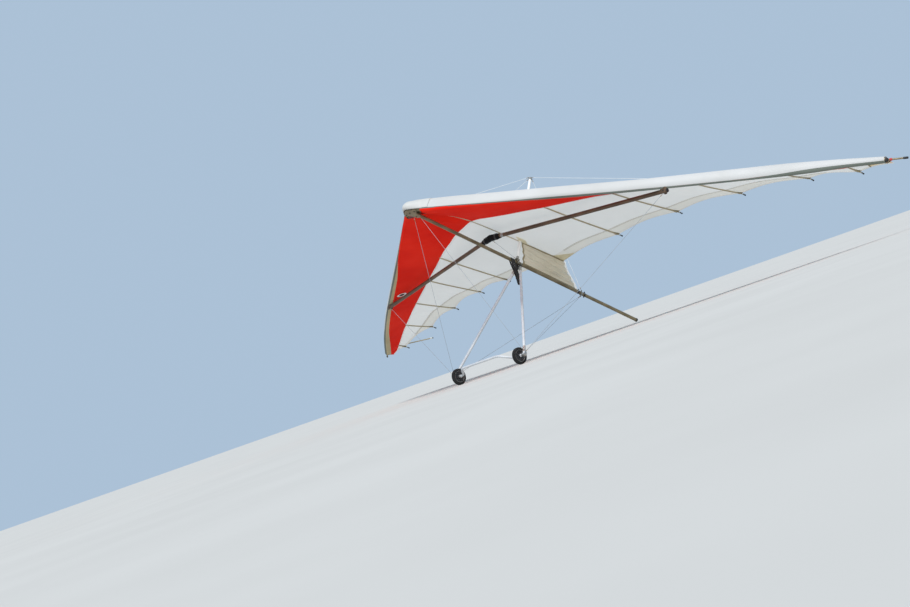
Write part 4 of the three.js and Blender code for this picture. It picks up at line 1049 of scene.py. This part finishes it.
def make_leading_edge(label, side):
    """The tube, the thin rod past the sail's end with its cap, and the tip strap."""
    inner = np.linspace(EDGE_START, JUNCTION_X, 12)
    xs = np.concatenate([inner, np.linspace(JUNCTION_X, TIP_X, 30)[1:]])
    shape = Shape()
    shape.tube(points_at(side * xs, edge_y(xs), edge_z(xs)), EDGE_RADIUS, 32)
    start, end = edge_point(TIP_X, side), edge_point(HALF_SPAN, side)
    along = unit(end - start)
    length = np.linalg.norm(end - start)
    shape.lathe(start, along, [(-0.01, TIP_ROD), (length + 0.01, TIP_ROD)], 24)
    piece(
        f"edge_tube_{label}", shape, [KEEL_METAL], nodes=[f"leading_edge_tube_{label}"],
    )
    shape = Shape()
    shape.lathe(start, along, [
        (-0.012, EDGE_RADIUS + 0.001), (0.002, EDGE_RADIUS + 0.002), (0.01, EDGE_RADIUS),
        (0.022, 0.016), (0.028, TIP_ROD),
    ], 32)
    reach = np.linalg.norm(edge_point(HALF_SPAN + TIP_CAP_LENGTH, side) - start)
    cap = TIP_ROD + 0.003
    shape.lathe(start, along, [
        (length - 0.012, TIP_ROD), (length - 0.011, cap), (reach - 0.006, cap),
        (reach - 0.001, TIP_ROD), (reach, TIP_ROD - 0.004),
    ], 24)
    piece(
        f"tip_cap_{label}", shape, [BLACK], nodes=[f"leading_edge_cap_{label}"],
    )
    shape = Shape()
    shape.collar(start + along * 0.0485, along, 0.0145, TIP_ROD, 0.005, 24, 0)
    hem = edge_point(TIP_X - 0.03, side) + np.array([0, 0.045, -0.014])
    path = [start + along * 0.048 - Z * (TIP_ROD + 0.004), start - Z * 0.03 + Y * 0.02, hem]
    shape.ribbon(path, [Y, Y, Y], 0.014, 0.002, 1)
    piece(f"tip_strap_{label}", shape, [RED_PLASTIC, WEBBING])


def junction_frame(side):
    joint = edge_point(JUNCTION_X, side)
    along = unit(joint - edge_point(0, side))
    reach = joint - CROSSBAR_CENTRE
    apart = reach - along * (reach @ along)
    up = np.cross(along, unit(apart))
    up = up if up[2] > 0 else -up
    share = JUNCTION_DROP / np.linalg.norm(apart)
    normal = unit(apart) * share + up * math.sqrt(1 - share * share)
    tube_end = joint - normal * JUNCTION_DROP
    return normal, tube_end, unit(tube_end - CROSSBAR_CENTRE)


def make_crossbar(label, side):
    normal, tube_end, direction = junction_frame(side)
    start, end = CROSSBAR_CENTRE + direction * 0.018, tube_end + direction * 0.022
    length = np.linalg.norm(end - start)
    shape = Shape()
    shape.lathe(start, direction, [
        (0, CROSSBAR_RADIUS - 0.002), (0.002, CROSSBAR_RADIUS), (length - 0.002, CROSSBAR_RADIUS),
        (length, CROSSBAR_RADIUS - 0.002),
    ], 36)
    shape.collar(start + direction * 0.19, direction, 0.022, CROSSBAR_RADIUS, 0.0012)
    shape.lathe(end, direction, [
        (-0.002, CROSSBAR_RADIUS - 0.001), (0.004, CROSSBAR_RADIUS - 0.002),
        (0.006, CROSSBAR_RADIUS - 0.006),
    ], 36, 2)
    piece(
        f"crossbar_tube_{label}", shape, [CROSS_METAL, DULL, BLACK], nodes=[f"crossbar_{label}"],
    )
    across = unit(np.cross(direction, normal))
    middle = tube_end - direction * 0.018
    half = CROSSBAR_RADIUS + GAP
    wide, top = half + CHANNEL_WALL, JUNCTION_DROP - EDGE_RADIUS - GAP
    rings = []
    for along, low, share in BRACKET_CHEEKS:
        outline = both_sides([
            (half, top - CHANNEL_WALL), (half, low), (wide - 0.002, low), (wide, low + 0.004),
            (wide, top - 0.006), (wide - 0.006, top),
        ])
        centre = middle + direction * along
        rings.append([centre + across * a * share + normal * b for a, b in outline])
    shape = Shape()
    shape.loft(rings)
    shape.bolt(middle, across, 2 * wide, 0.007)
    shape.bolt(middle + normal * (top - CHANNEL_WALL / 2), normal, CHANNEL_WALL)
    piece(
        f"junction_{label}", shape, [CROSS_METAL, BLACK], nodes=[f"junction_bracket_{label}"],
        bevel=0.0008,
    )


def make_pad():
    """The padded sleeve over the crossbar's hinge, drawn in at both ends and strapped."""
    shape = Shape()
    rings = []
    round_it = circle(Y, Z, 40)
    angles = np.arange(40) / 40 * 2 * math.pi
    for t in np.linspace(-1, 1, 61):
        direction = junction_frame(1 if t > 0 else -1)[2]
        bend = (math.hypot(t, 0.1) - 0.1) / (math.hypot(1, 0.1) - 0.1)
        centre = CROSSBAR_CENTRE + direction * bend * PAD_HALF_LENGTH
        puff = 0.0022 * abs(math.sin(t * 4.5 * math.pi)) ** 0.6
        crease = 0.0009 * np.sin(9 * angles + 14 * t) + 0.0012 * np.sin(4 * angles - 23 * t)
        seam = -0.003 * np.exp(-(((angles - 4.71) / 0.12) ** 2))
        radius = 0.028 + 0.0105 * (1 - abs(t) ** 2.5) + puff + crease + seam
        rings.append(centre + radius[:, None] * round_it)
    ends = [ring.mean(0) + (ring - ring.mean(0)) * 0.8 for ring in (rings[0], rings[-1])]
    shape.loft([ends[0], *rings, ends[1]])
    for side in (-1, 1):
        direction = junction_frame(side)[2]
        centre = CROSSBAR_CENTRE + direction * 0.62 * PAD_HALF_LENGTH
        shape.collar(centre, direction, 0.011, 0.036, 0.0035, 40)
    pad = piece("hinge_pad", shape, [PAD_CLOTH, WEBBING], nodes=["crossbar_pad"])


# Kingpost, tang and hang loops


def make_kingpost():
    """The post with its grommet in the sail, its foot on the keel and its head."""
    place = Y * KINGPOST_Y
    wide = KINGPOST_RADIUS + 0.003
    channel = KEEL_RADIUS + GAP
    shape = Shape()
    start, head = channel + 0.026, KINGPOST_HEIGHT - KINGPOST_CAP
    shape.lathe(place, Z, [(start + GAP, KINGPOST_RADIUS), (head, KINGPOST_RADIUS)], 36)
    shape.lathe(place, Z, [
        (start + 0.001, KINGPOST_RADIUS + 0.0015), (start + 0.03, KINGPOST_RADIUS + 0.0015),
        (start + 0.034, KINGPOST_RADIUS),
    ], 36, 1)
    grommet = [(-0.012, 0), (-0.012, 0.004), (-0.004, 0.011), (0.002, 0.0115), (0.012, 0.004), (0.014, 0)]
    level = place + Z * cloth_z(0.0, KINGPOST_Y)
    shape.lathe(level, Z, [(up, KINGPOST_RADIUS + out) for up, out in grommet], 36, 2)
    piece("kingpost_tube", shape, [WHITE_PAINT, STEEL, PALE_PLASTIC], nodes=["kingpost"])
    shape = Shape()
    outside = channel + CHANNEL_WALL
    shape.prism(both_sides([
        (channel, channel), (channel, 0.012), (outside, 0.012), (outside, outside - 0.003),
        (outside - 0.004, outside), (wide, outside), (wide, start),
    ]), place, X, Z, 0.044)
    shape.bolt(place + Z * (channel + 0.015), X, 2 * wide)
    for way in (1, -1):
        shape.bolt(place + Z * 0.016 + Y * way * 0.014, X, 2 * outside, 0.005)
    piece("kingpost_foot", shape, [PLATE, STEEL], nodes=["kingpost_base"], bevel=0.0008)
    shape = Shape()
    shape.lathe(place, Z, [
        (head, KINGPOST_RADIUS + 0.001), (head + 0.002, wide), (KINGPOST_HEIGHT - 0.008, wide),
        (KINGPOST_HEIGHT - 0.002, KINGPOST_RADIUS - 0.001), (KINGPOST_HEIGHT, KINGPOST_RADIUS - 0.007),
    ], 32)
    for axis in (X, -X, Y, -Y):
        centre = place + Z * (KINGPOST_HEIGHT - 0.014) + axis * (KINGPOST_RADIUS + 0.006)
        shape.block(centre, axis, Z, (0.014, 0.014, 0.003), 1)
    shape.bolt(place + Z * (head + 0.012), X, 2 * wide, 0.004)
    piece("kingpost_head", shape, [DULL, STEEL], nodes=["kingpost_cap"], bevel=0.0006)


def make_tang():
    """The rear stays' clamp round the keel, with its lugs, and the bands and knobs beside it."""
    place = Y * TANG_Y
    shape = Shape()
    inside, outside = KEEL_RADIUS + 0.0006, KEEL_RADIUS + 0.0045
    shape.lathe(place, Y, both_sides([(-0.012, inside), (-0.012, outside)]), 36, closed=True)
    for way in (1, -1):
        lug = place + Z * way * (KEEL_RADIUS + 0.012)
        shape.prism(both_sides([(0.009, -0.01), (0.009, 0.006), (0.005, 0.011)]), lug, Y, Z * way, 0.005)
        shape.bolt(lug + Z * way * 0.003, X, 0.012, 0.005, 0)
    for shift in (-0.052, 0.05):
        shape.collar(place + Y * shift, Y, 0.01, KEEL_RADIUS + 0.0004, 0.002, 32)
    for shift, way, up, rows in (
        (0.05, 1, 0.005, [(0, 0.008), (0.012, 0.008), (0.016, 0.005)]),
        (-0.052, 1, 0.005, [(0, 0.008), (0.009, 0.008), (0.013, 0.004)]),
        (0.05, -1, 0.003, [(0, 0.007), (0.012, 0.007), (0.015, 0.004)]),
    ):
        shape.lathe(place + Y * shift + Z * way * (KEEL_RADIUS + up), Z * way, rows, 16, 1)
    piece("rear_tang_dressed", shape, [STEEL, BLACK], nodes=["rear_tang"], bevel=0.0006)


def make_hang_loops():
    """Straps round the keel that hang straight down on the parked glider."""
    down = np.array([0, -ALONG[2], -TURN[2][2]])
    level = np.array([0, TURN[2][2], -ALONG[2]])
    thick, half = LOOP_STRAP["thick"], LOOP_STRAP["eye_half"]
    radius = KEEL_RADIUS + 0.001 + thick / 2
    for name, (place, length) in LOOPS.items():
        start = Y * place
        path = [
            start + radius * np.array([math.cos(angle), 0, math.sin(angle)])
            for angle in np.linspace(0, math.pi, 21)
        ]
        flats = [Y] * len(path)
        fall = [
            (-radius * 0.99, 0.02), (-radius * 0.9, 0.06), (-half * 0.75, length * 0.45),
            (-half * 0.62, length - 0.075), (-half, length - 0.04), (-half, length - 0.012),
            (-half * 0.55, length - 0.001), (0, length),
        ]
        for x, low in fall + both_sides(fall)[len(fall) + 1:]:
            path.append(start + X * x + down * low)
            flats.append(lerp(Y, level, min(1, low / 0.08)))
        fine = evenly([*path, path[0]], 120)
        nearest = [int(np.argmin(np.linalg.norm(np.array(path) - point, axis=1))) for point in fine]
        shape = Shape()
        shape.ribbon(fine, [flats[i] for i in nearest], LOOP_STRAP["width"], thick)
        for low, across in ((length - 0.085, 0.03), (0.055, 0.046)):
            shape.block(start + down * low, X, level, (across, 0.027, 0.016))
        made = piece(f"{name}_strap", shape, [WEBBING], nodes=[name], bevel=0.0005)


# Control frame and wheels

FRAME_UP = unit((0, FRAME_FORWARD, FRAME_DROP - APEX_DROP))
FRAME_NORMAL = np.cross(X, FRAME_UP)


def corner_point(side):
    return np.array([side * FRAME_HALF_WIDTH, -FRAME_FORWARD, -FRAME_DROP])


UPRIGHT_LINE = unit((APEX_HALF_WIDTH, 0, -APEX_DROP) - corner_point(1))
UPRIGHT_LEAN = unit((UPRIGHT_LINE[0], UPRIGHT_LINE @ FRAME_UP))


def make_upright(label, side):
    along = mirrored(UPRIGHT_LINE, side)
    start = corner_point(side) + along * (KNUCKLE_REACH + GAP)
    length = np.linalg.norm((side * APEX_HALF_WIDTH, 0, -APEX_DROP) - start)
    shape = Shape()
    shape.lathe(start, along, [(0, UPRIGHT_RADIUS), (length, UPRIGHT_RADIUS)], 36)
    for at in (0.0, length - 0.075):
        shape.collar(start + along * (at + 0.0375), along, 0.0365, UPRIGHT_RADIUS, 0.0018)
        shape.bolt(start + along * (at + 0.03), FRAME_NORMAL, 2 * UPRIGHT_RADIUS + 0.003, 0.0045)
    piece(
        f"upright_tube_{label}", shape, [BRIGHT, STEEL], nodes=[f"upright_{label}"],
    )


def make_corner(label, side):
    inward = np.array([-UPRIGHT_LEAN[1], UPRIGHT_LEAN[0]]) * 0.019
    face = KNUCKLE_FACE_X - FRAME_HALF_WIDTH
    outline = [
        (face, -0.016), (face + 0.004, -0.02), (0.012, -0.02), (0.02, -0.014), (0.024, -0.004),
        UPRIGHT_LEAN * KNUCKLE_REACH - inward, UPRIGHT_LEAN * KNUCKLE_REACH + inward,
        (face + 0.004, 0.02), (face, 0.016),
    ]
    shape = Shape()
    place = corner_point(side)
    shape.prism(on_side(outline, side), place, X, FRAME_UP, 0.034)
    shape.bolt(place - X * side * 0.012, FRAME_NORMAL, 0.034)
    shape.bolt(place + mirrored(UPRIGHT_LINE, side) * 0.038, FRAME_NORMAL, 0.034, 0.0055)
    plate = [(-0.012, -0.004), (0.012, -0.004), (0.016, 0.02), (0.01, 0.03), (-0.006, 0.03), (-0.014, 0.02)]
    for way in (1, -1):
        centre = place + FRAME_NORMAL * way * 0.0195 + X * side * 0.006
        shape.prism(on_side(plate, side), centre, X, FRAME_UP, 0.003, 1)
    piece(
        f"corner_{label}", shape, [STEEL, BRIGHT], nodes=[f"corner_knuckle_{label}"],
        bevel=0.001,
    )


def bar_path():
    """The base bar's centre line: straight through the wheels, with its middle set forward."""
    end, straight, outer, inner, middle = np.array([
        (x, -FRAME_FORWARD - ahead, -FRAME_DROP) for x, ahead in (
            (KNUCKLE_FACE_X - GAP, 0), (BAR_STRAIGHT_TO + BAR_ROUND, 0), (BAR_STRAIGHT_TO, 0),
            (BAR_FORWARD_FROM, BAR_REACH), (BAR_FORWARD_FROM - BAR_ROUND, BAR_REACH),
        )
    ])
    share = BAR_ROUND / math.hypot(BAR_STRAIGHT_TO - BAR_FORWARD_FROM, BAR_REACH)
    line = [end]
    for start, corner, stop in (
        (straight, outer, lerp(outer, inner, share)), (lerp(inner, outer, share), inner, middle),
    ):
        for t in np.linspace(0, 1, 11):
            line.append(lerp(lerp(start, corner, t), lerp(corner, stop, t), t))
    return np.array(line + [mirrored(point, -1) for point in line[::-1]])


def make_base_bar():
    """The bar, with the collars that keep the wheels in their place."""
    shape = Shape()
    shape.tube(bar_path(), BAR_RADIUS, 28)
    inner = WHEEL_X - HUB_HALF_WIDTH - WHEEL_SIDE_GAP - COLLAR_HALF
    rise = BAR_RADIUS + 0.005
    for side in (1, -1):
        centre = np.array([side * inner, -FRAME_FORWARD, -FRAME_DROP])
        shape.lathe(centre, X, both_sides([
            (-COLLAR_HALF, BAR_RADIUS), (-COLLAR_HALF, rise), (0.001 - COLLAR_HALF, rise + 0.001),
        ]), 32, 1)
        shape.lathe(centre + Z * rise, Z, [(0, 0.0035), (0.003, 0.0035), (0.0036, 0.0025)], 12, 2)
    piece("base_bar_tube", shape, [BRIGHT, STEEL, PLATE], nodes=["base_bar"])


def make_wheel(label, side):
    centre = np.array([side * WHEEL_X, -FRAME_FORWARD, -FRAME_DROP])
    bore = BAR_RADIUS + RUNNING_GAP + 0.0002
    rim = WHEEL_RADIUS - TYRE_DEPTH
    half = TYRE_WIDTH / 2
    web = 0.006
    shape = Shape()
    shape.lathe(centre, X, both_sides([
        (-HUB_HALF_WIDTH, bore), (-HUB_HALF_WIDTH, HUB_RADIUS - 0.007),
        (0.002 - HUB_HALF_WIDTH, HUB_RADIUS - 0.005), (-web - 0.003, HUB_RADIUS - 0.002),
        (-web, HUB_RADIUS + 0.002), (-web, rim - 0.012), (0.006 - half, rim - 0.006),
        (0.004 - half, rim - 0.004), (0.004 - half, rim),
    ]), 64, closed=True)
    for way in (1, -1):
        for out in circle(Y, Z, 8):
            spoke = centre + X * way * (web + 0.003) + out * (HUB_RADIUS + rim - 0.01) / 2
            shape.block(spoke, out, np.cross(X, out), (rim - HUB_RADIUS - 0.004, 0.006, 0.007))
        shape.lathe(centre + X * way * (half - 0.004), X * way, [
            (0, rim - 0.0035), (0.0015, rim - 0.003), (0.0015, rim + 0.0045), (0, rim + 0.005),
        ], 64, 2, closed=True)
        shape.lathe(centre + X * way * HUB_HALF_WIDTH, X * way, [
            (-0.004, bore), (0.0002, bore), (0.0008, bore + 0.001), (0.0008, HUB_RADIUS - 0.01),
            (0.0, HUB_RADIUS - 0.0085), (-0.004, HUB_RADIUS - 0.0085),
        ], 48, 1, closed=True)
    body = f"wheel_{label}"
    piece(
        f"wheel_disc_{label}", shape, [GREY_PLASTIC, BRIGHT, DULL], body, [f"wheel_rim_{label}"],
    )
    wall = [
        (0.002 - half, rim), (0.0005 - half, rim + 0.004), (-half, rim + 0.01),
        (0.0012 - half, WHEEL_RADIUS - 0.012), (0.004 - half, WHEEL_RADIUS - 0.006),
        (0.0075 - half, WHEEL_RADIUS - 0.003),
    ]
    for k in (-2, -1):
        crown = WHEEL_RADIUS - 0.0002 * abs(k)
        for along, low in ((-0.002, 0.0018), (-0.0016, 0), (0.0016, 0), (0.002, 0.0018)):
            wall.append((k * 0.0052 + along, crown - low))
    wall += [(-0.002, WHEEL_RADIUS - 0.0018), (-0.0016, WHEEL_RADIUS)]
    shape = Shape()
    shape.lathe(centre, X, both_sides(wall), 80, closed=True)
    piece(f"wheel_ring_{label}", shape, [RUBBER], body, [f"wheel_tyre_{label}"])


def make_apex():
    """The channel on the keel and the block under it that takes the uprights' tops."""
    half = KEEL_RADIUS + GAP
    wide = half + CHANNEL_WALL
    shape = Shape()
    shape.prism(both_sides([
        (wide - 0.004, -wide), (wide, 0.004 - wide), (wide, 0.01), (half, 0.01), (half, -half),
    ]), (0, 0, 0), X, Z, 0.084)
    for y in (-0.028, 0.028):
        shape.bolt((0, y, -0.002), X, 2 * wide)
    piece("apex_bracket", shape, [PLATE, STEEL], nodes=["apex_channel"], bevel=0.0008)
    outward = np.array([UPRIGHT_LEAN[1], -UPRIGHT_LEAN[0]]) * 0.019
    foot = np.array([APEX_HALF_WIDTH, 0]) + UPRIGHT_LEAN * GAP
    outer = foot + outward
    right = [
        tuple(foot - outward), (outer[0] - 0.003, outer[1]), (outer[0], outer[1] + 0.004),
        (outer[0] - 0.006, outer[1] + 0.016), (wide - 0.004, APEX_DROP - wide - GAP - 0.001),
    ]
    shape = Shape()
    shape.prism(both_sides(right), (0, 0, -APEX_DROP), X, FRAME_UP, 0.038)
    for side in (1, -1):
        shape.bolt((side * 0.034, 0.0015, -APEX_DROP + 0.014), FRAME_NORMAL, 0.038)
    piece("apex_block", shape, [BLACK, STEEL], nodes=["apex_knuckle"], bevel=0.0012)


def make_strut(label, side):
    end = mirrored(STRUT_END, side)
    root = edge_point(STRUT_X, side)
    direction = unit(end - root)
    start = root + direction * (EDGE_RADIUS + 0.004)
    length = np.linalg.norm(end - start)
    shape = Shape()
    shape.lathe(start, direction, [(0, STRUT_RADIUS), (length - 0.05, STRUT_RADIUS)], 24)
    for place, slot, rows in (
        (start, 2, [(-0.004, 0.002), (0.03, 0.002), (0.034, 0)]),
        (end, 1, [(-0.055, 0), (-0.054, 0.0012), (-0.018, 0.0012)]),
        (end, 2, [(-0.018, 0.0016), (-0.003, 0.0016), (0, -0.002)]),
    ):
        shape.lathe(place, direction, [(at, STRUT_RADIUS + proud) for at, proud in rows], 24, slot)
    piece(
        f"washout_rod_{label}", shape, [BATTEN, PALE_PLASTIC, BLACK],
        nodes=[f"washout_strut_{label}"],
    )


# Stays


def make_stay(name, node, start, end, wire):
    """A taut wire with a thimble loop and a crimped sleeve at each end."""
    start, end = np.asarray(start, float), np.asarray(end, float)
    direction = unit(end - start)
    shape = Shape()
    shape.tube([start + direction * 0.02, end - direction * 0.02], STAY_RADIUS, 10)
    across = unit(np.cross(direction, X if abs(direction[0]) < 0.8 else Y))
    angles = np.linspace(0, 2 * math.pi, 17)[:, None]
    sleeve = both_sides([(-0.011, 0.0022), (-0.01, 0.0034), (-0.004, 0.0036), (-0.003, 0.0031)])
    for point, along in ((start, direction), (end, -direction)):
        loop = point + along * (0.009 - 0.011 * np.cos(angles)) + across * 0.0062 * np.sin(angles)
        shape.tube(loop, 0.0016, 8, 1, caps=False)
        shape.lathe(point + along * 0.033, along, sleeve, 14, 2)
    piece(name, shape, [wire, STEEL, SLEEVE], nodes=[node])


def make_stays():
    mast = np.array([0, KINGPOST_Y, KINGPOST_HEIGHT - 0.012])
    tang = KEEL_RADIUS + 0.016
    runs = []
    for label, side in SIDES:
        anchor = corner_point(side) + np.array([side * 0.004, 0, 0.024])
        nose = (side * 0.05, -KEEL_AHEAD + 0.13, -EDGE_RADIUS - 0.006)
        normal, tube_end, direction = junction_frame(side)
        bar = tube_end - direction * 0.04 - normal * CROSSBAR_RADIUS
        hold = edge_point(JUNCTION_X, side) + STAY_HOLD
        runs += [
            (f"lower_front_{label}", anchor, nose, WIRE),
            (f"lower_side_{label}", anchor, bar, WIRE),
            (f"lower_rear_{label}", anchor, (0, TANG_Y, -tang), WIRE),
            (f"upper_side_{label}", mast + X * side * 0.024, hold, WIRE_PAINTED_SUNLIT),
        ]
    runs += [
        ("upper_front", mast - Y * 0.024, (0, -KEEL_AHEAD + 0.13, 0.03), WIRE_PAINTED_SUNLIT),
        ("upper_rear", mast + Y * 0.024, (0, TANG_Y, tang), WIRE_PAINTED_SUNLIT),
    ]
    for name, start, end, wire in runs:
        make_stay(f"wire_{name}", f"stay_{name}", start, end, wire)
    pad = CROSSBAR_CENTRE + np.array([0, 0.034, -0.016])
    make_stay("restraint_wire", "crossbar_restraint", pad, (0, KINGPOST_Y - 0.02, KEEL_RADIUS + 0.02), WIRE)


# Keel pocket


def make_keel_pocket():
    """The fin of cloth between the keel and the root seam, creased along the keel."""
    s = np.linspace(0, 1, 90)[:, None]
    t = np.linspace(0, 1, 44)
    low = lerp(KEEL_POCKET_FRONT[1], KEEL_POCKET_END, s)
    high = lerp(KEEL_POCKET_FRONT[0], ROOT_TRAIL[1] - 0.006, s)
    hollow = 0.016 * np.sin(math.pi * t) * np.where(s > 0.5, -1, 0.4) * smooth_step(abs(s - 0.5) * 2)
    y = lerp(low, high, t) + hollow
    z = lerp(KEEL_RADIUS + 0.0004, cloth_z(0.0, high) - BELOW["keel_pocket"], t)
    # broad waves, then two narrow folds
    swell = np.sin(math.pi * t) ** 0.7
    wave = 0.012 * np.sin(2 * math.pi * (3.2 * t * (1 + 0.3 * s) + 0.5 * s)) * swell * (1.15 - 0.8 * t)
    wave = wave + 0.006 * np.sin(2 * math.pi * (2.7 * s - 1.6 * t)) * swell
    for place, slope in ((0.16, 0.1), (0.3, -0.14)):
        fold = np.exp(-(((t - place - slope * s) / 0.03) ** 2))
        wave = wave + 0.011 * fold * np.sin(math.pi * s)
    slots = np.zeros((len(s) - 1, len(t) - 1), int)
    slots[:3] = slots[:, :2] = slots[:, -2:] = 1
    shape = Shape()
    shape.grid(points_at(wave, y, z), slots)
    fin = piece(
        "keel_pocket_cloth", shape, [BEIGE, BEIGE_DARK], nodes=["keel_pocket"],
        sharp=60,
    )
    path = points_at(0.0, y[-1] + 0.014 + 0.012 * np.sin(2 * math.pi * t), z[-1])
    shape = Shape()
    shape.ribbon(path, [Y] * len(t), 0.036, 0.009)
    piece("keel_pocket_edge", shape, [TRIM_WHITE])
    shape = Shape()
    xs = np.linspace(0.003, 0.088, 9)
    y = np.linspace(-0.05, 0.1, 16)[:, None] - 1.35 * xs
    shape.grid(on_cloth(xs, y, 1, BELOW["kingpost_patch"]))
    piece("kingpost_patch", shape, [CORNER], sharp=60)


for label, side in SIDES:
    make_sail(label, side)
    make_pocket(label, side)
    make_undersurface(label, side)
    make_mouth(label, side)
    make_trim(label, side)
    make_battens(label, side)
    make_leading_edge(label, side)
    make_crossbar(label, side)
    make_upright(label, side)
    make_corner(label, side)
    make_wheel(label, side)
    make_strut(label, side)
make_nose_plates()
make_nose_cone()
make_keel()
make_pad()
make_kingpost()
make_tang()
make_hang_loops()
make_base_bar()
make_apex()
make_stays()
make_keel_pocket()

# Floor, lights and camera


def add_floor():
    mesh = bpy.data.meshes.new("floor")
    ring = FLOOR_RADIUS * circle(X, Y, FLOOR_SIDES)
    mesh.from_pydata(ring.tolist(), [], [list(range(FLOOR_SIDES))])
    look = Look("floor_paint")
    base = look.ramp(look.noise(0.7, 3.0), (0.35, (196, 193, 188)), (0.65, (200, 197, 192)))
    mesh.materials.append(look.finish(look.coat(
        Base_Color=base, Roughness=1.0, Specular_IOR_Level=0.0,
    )))
    floor = bpy.data.objects.new("floor", mesh)
    bpy.context.scene.collection.objects.link(floor)


def add_world():
    world = bpy.data.worlds.new("studio")
    world.use_nodes = True
    background = world.node_tree.nodes["Background"]
    background.inputs["Color"].default_value = rgb(168, 189, 210)
    background.inputs["Strength"].default_value = 1.05
    bpy.context.scene.world = world


def add_sun(name, direction, strength, spread):
    light = bpy.data.lights.new(name, "SUN")
    light.energy = strength
    light.angle = math.radians(spread)
    light.color = SUNLIGHT
    made = bpy.data.objects.new(name, light)
    made.rotation_euler = Vector(direction).to_track_quat("-Z", "Y").to_euler()
    bpy.context.scene.collection.objects.link(made)


def add_camera():
    data = bpy.data.cameras.new("photo_camera")
    data.sensor_fit = "HORIZONTAL"
    data.sensor_width = SENSOR
    data.lens = CAMERA_PIXELS * SENSOR / PHOTO_WIDTH
    data.clip_end = 1000
    rows = np.array([CAMERA_RIGHT, CAMERA_DOWN, CAMERA_AHEAD])
    left, _, right = np.linalg.svd(rows)
    rows = (left @ right) @ TURN
    made = bpy.data.objects.new("photo_camera", data)
    matrix = np.eye(4)
    matrix[:3, 0], matrix[:3, 1], matrix[:3, 2] = rows[0], -rows[1], -rows[2]
    matrix[:3, 3] = to_part(CAMERA_PLACE)
    made.matrix_world = Matrix(matrix.tolist())
    bpy.context.scene.collection.objects.link(made)
    bpy.context.scene.camera = made


add_floor()
add_world()
add_sun("key", (-0.3, 0.3, -1.0), 2.4, 30)
add_sun("fill", (-0.65, 0.75, -0.1), 1.5, 40)
add_camera()
bpy.context.scene.view_settings.view_transform = "Standard"
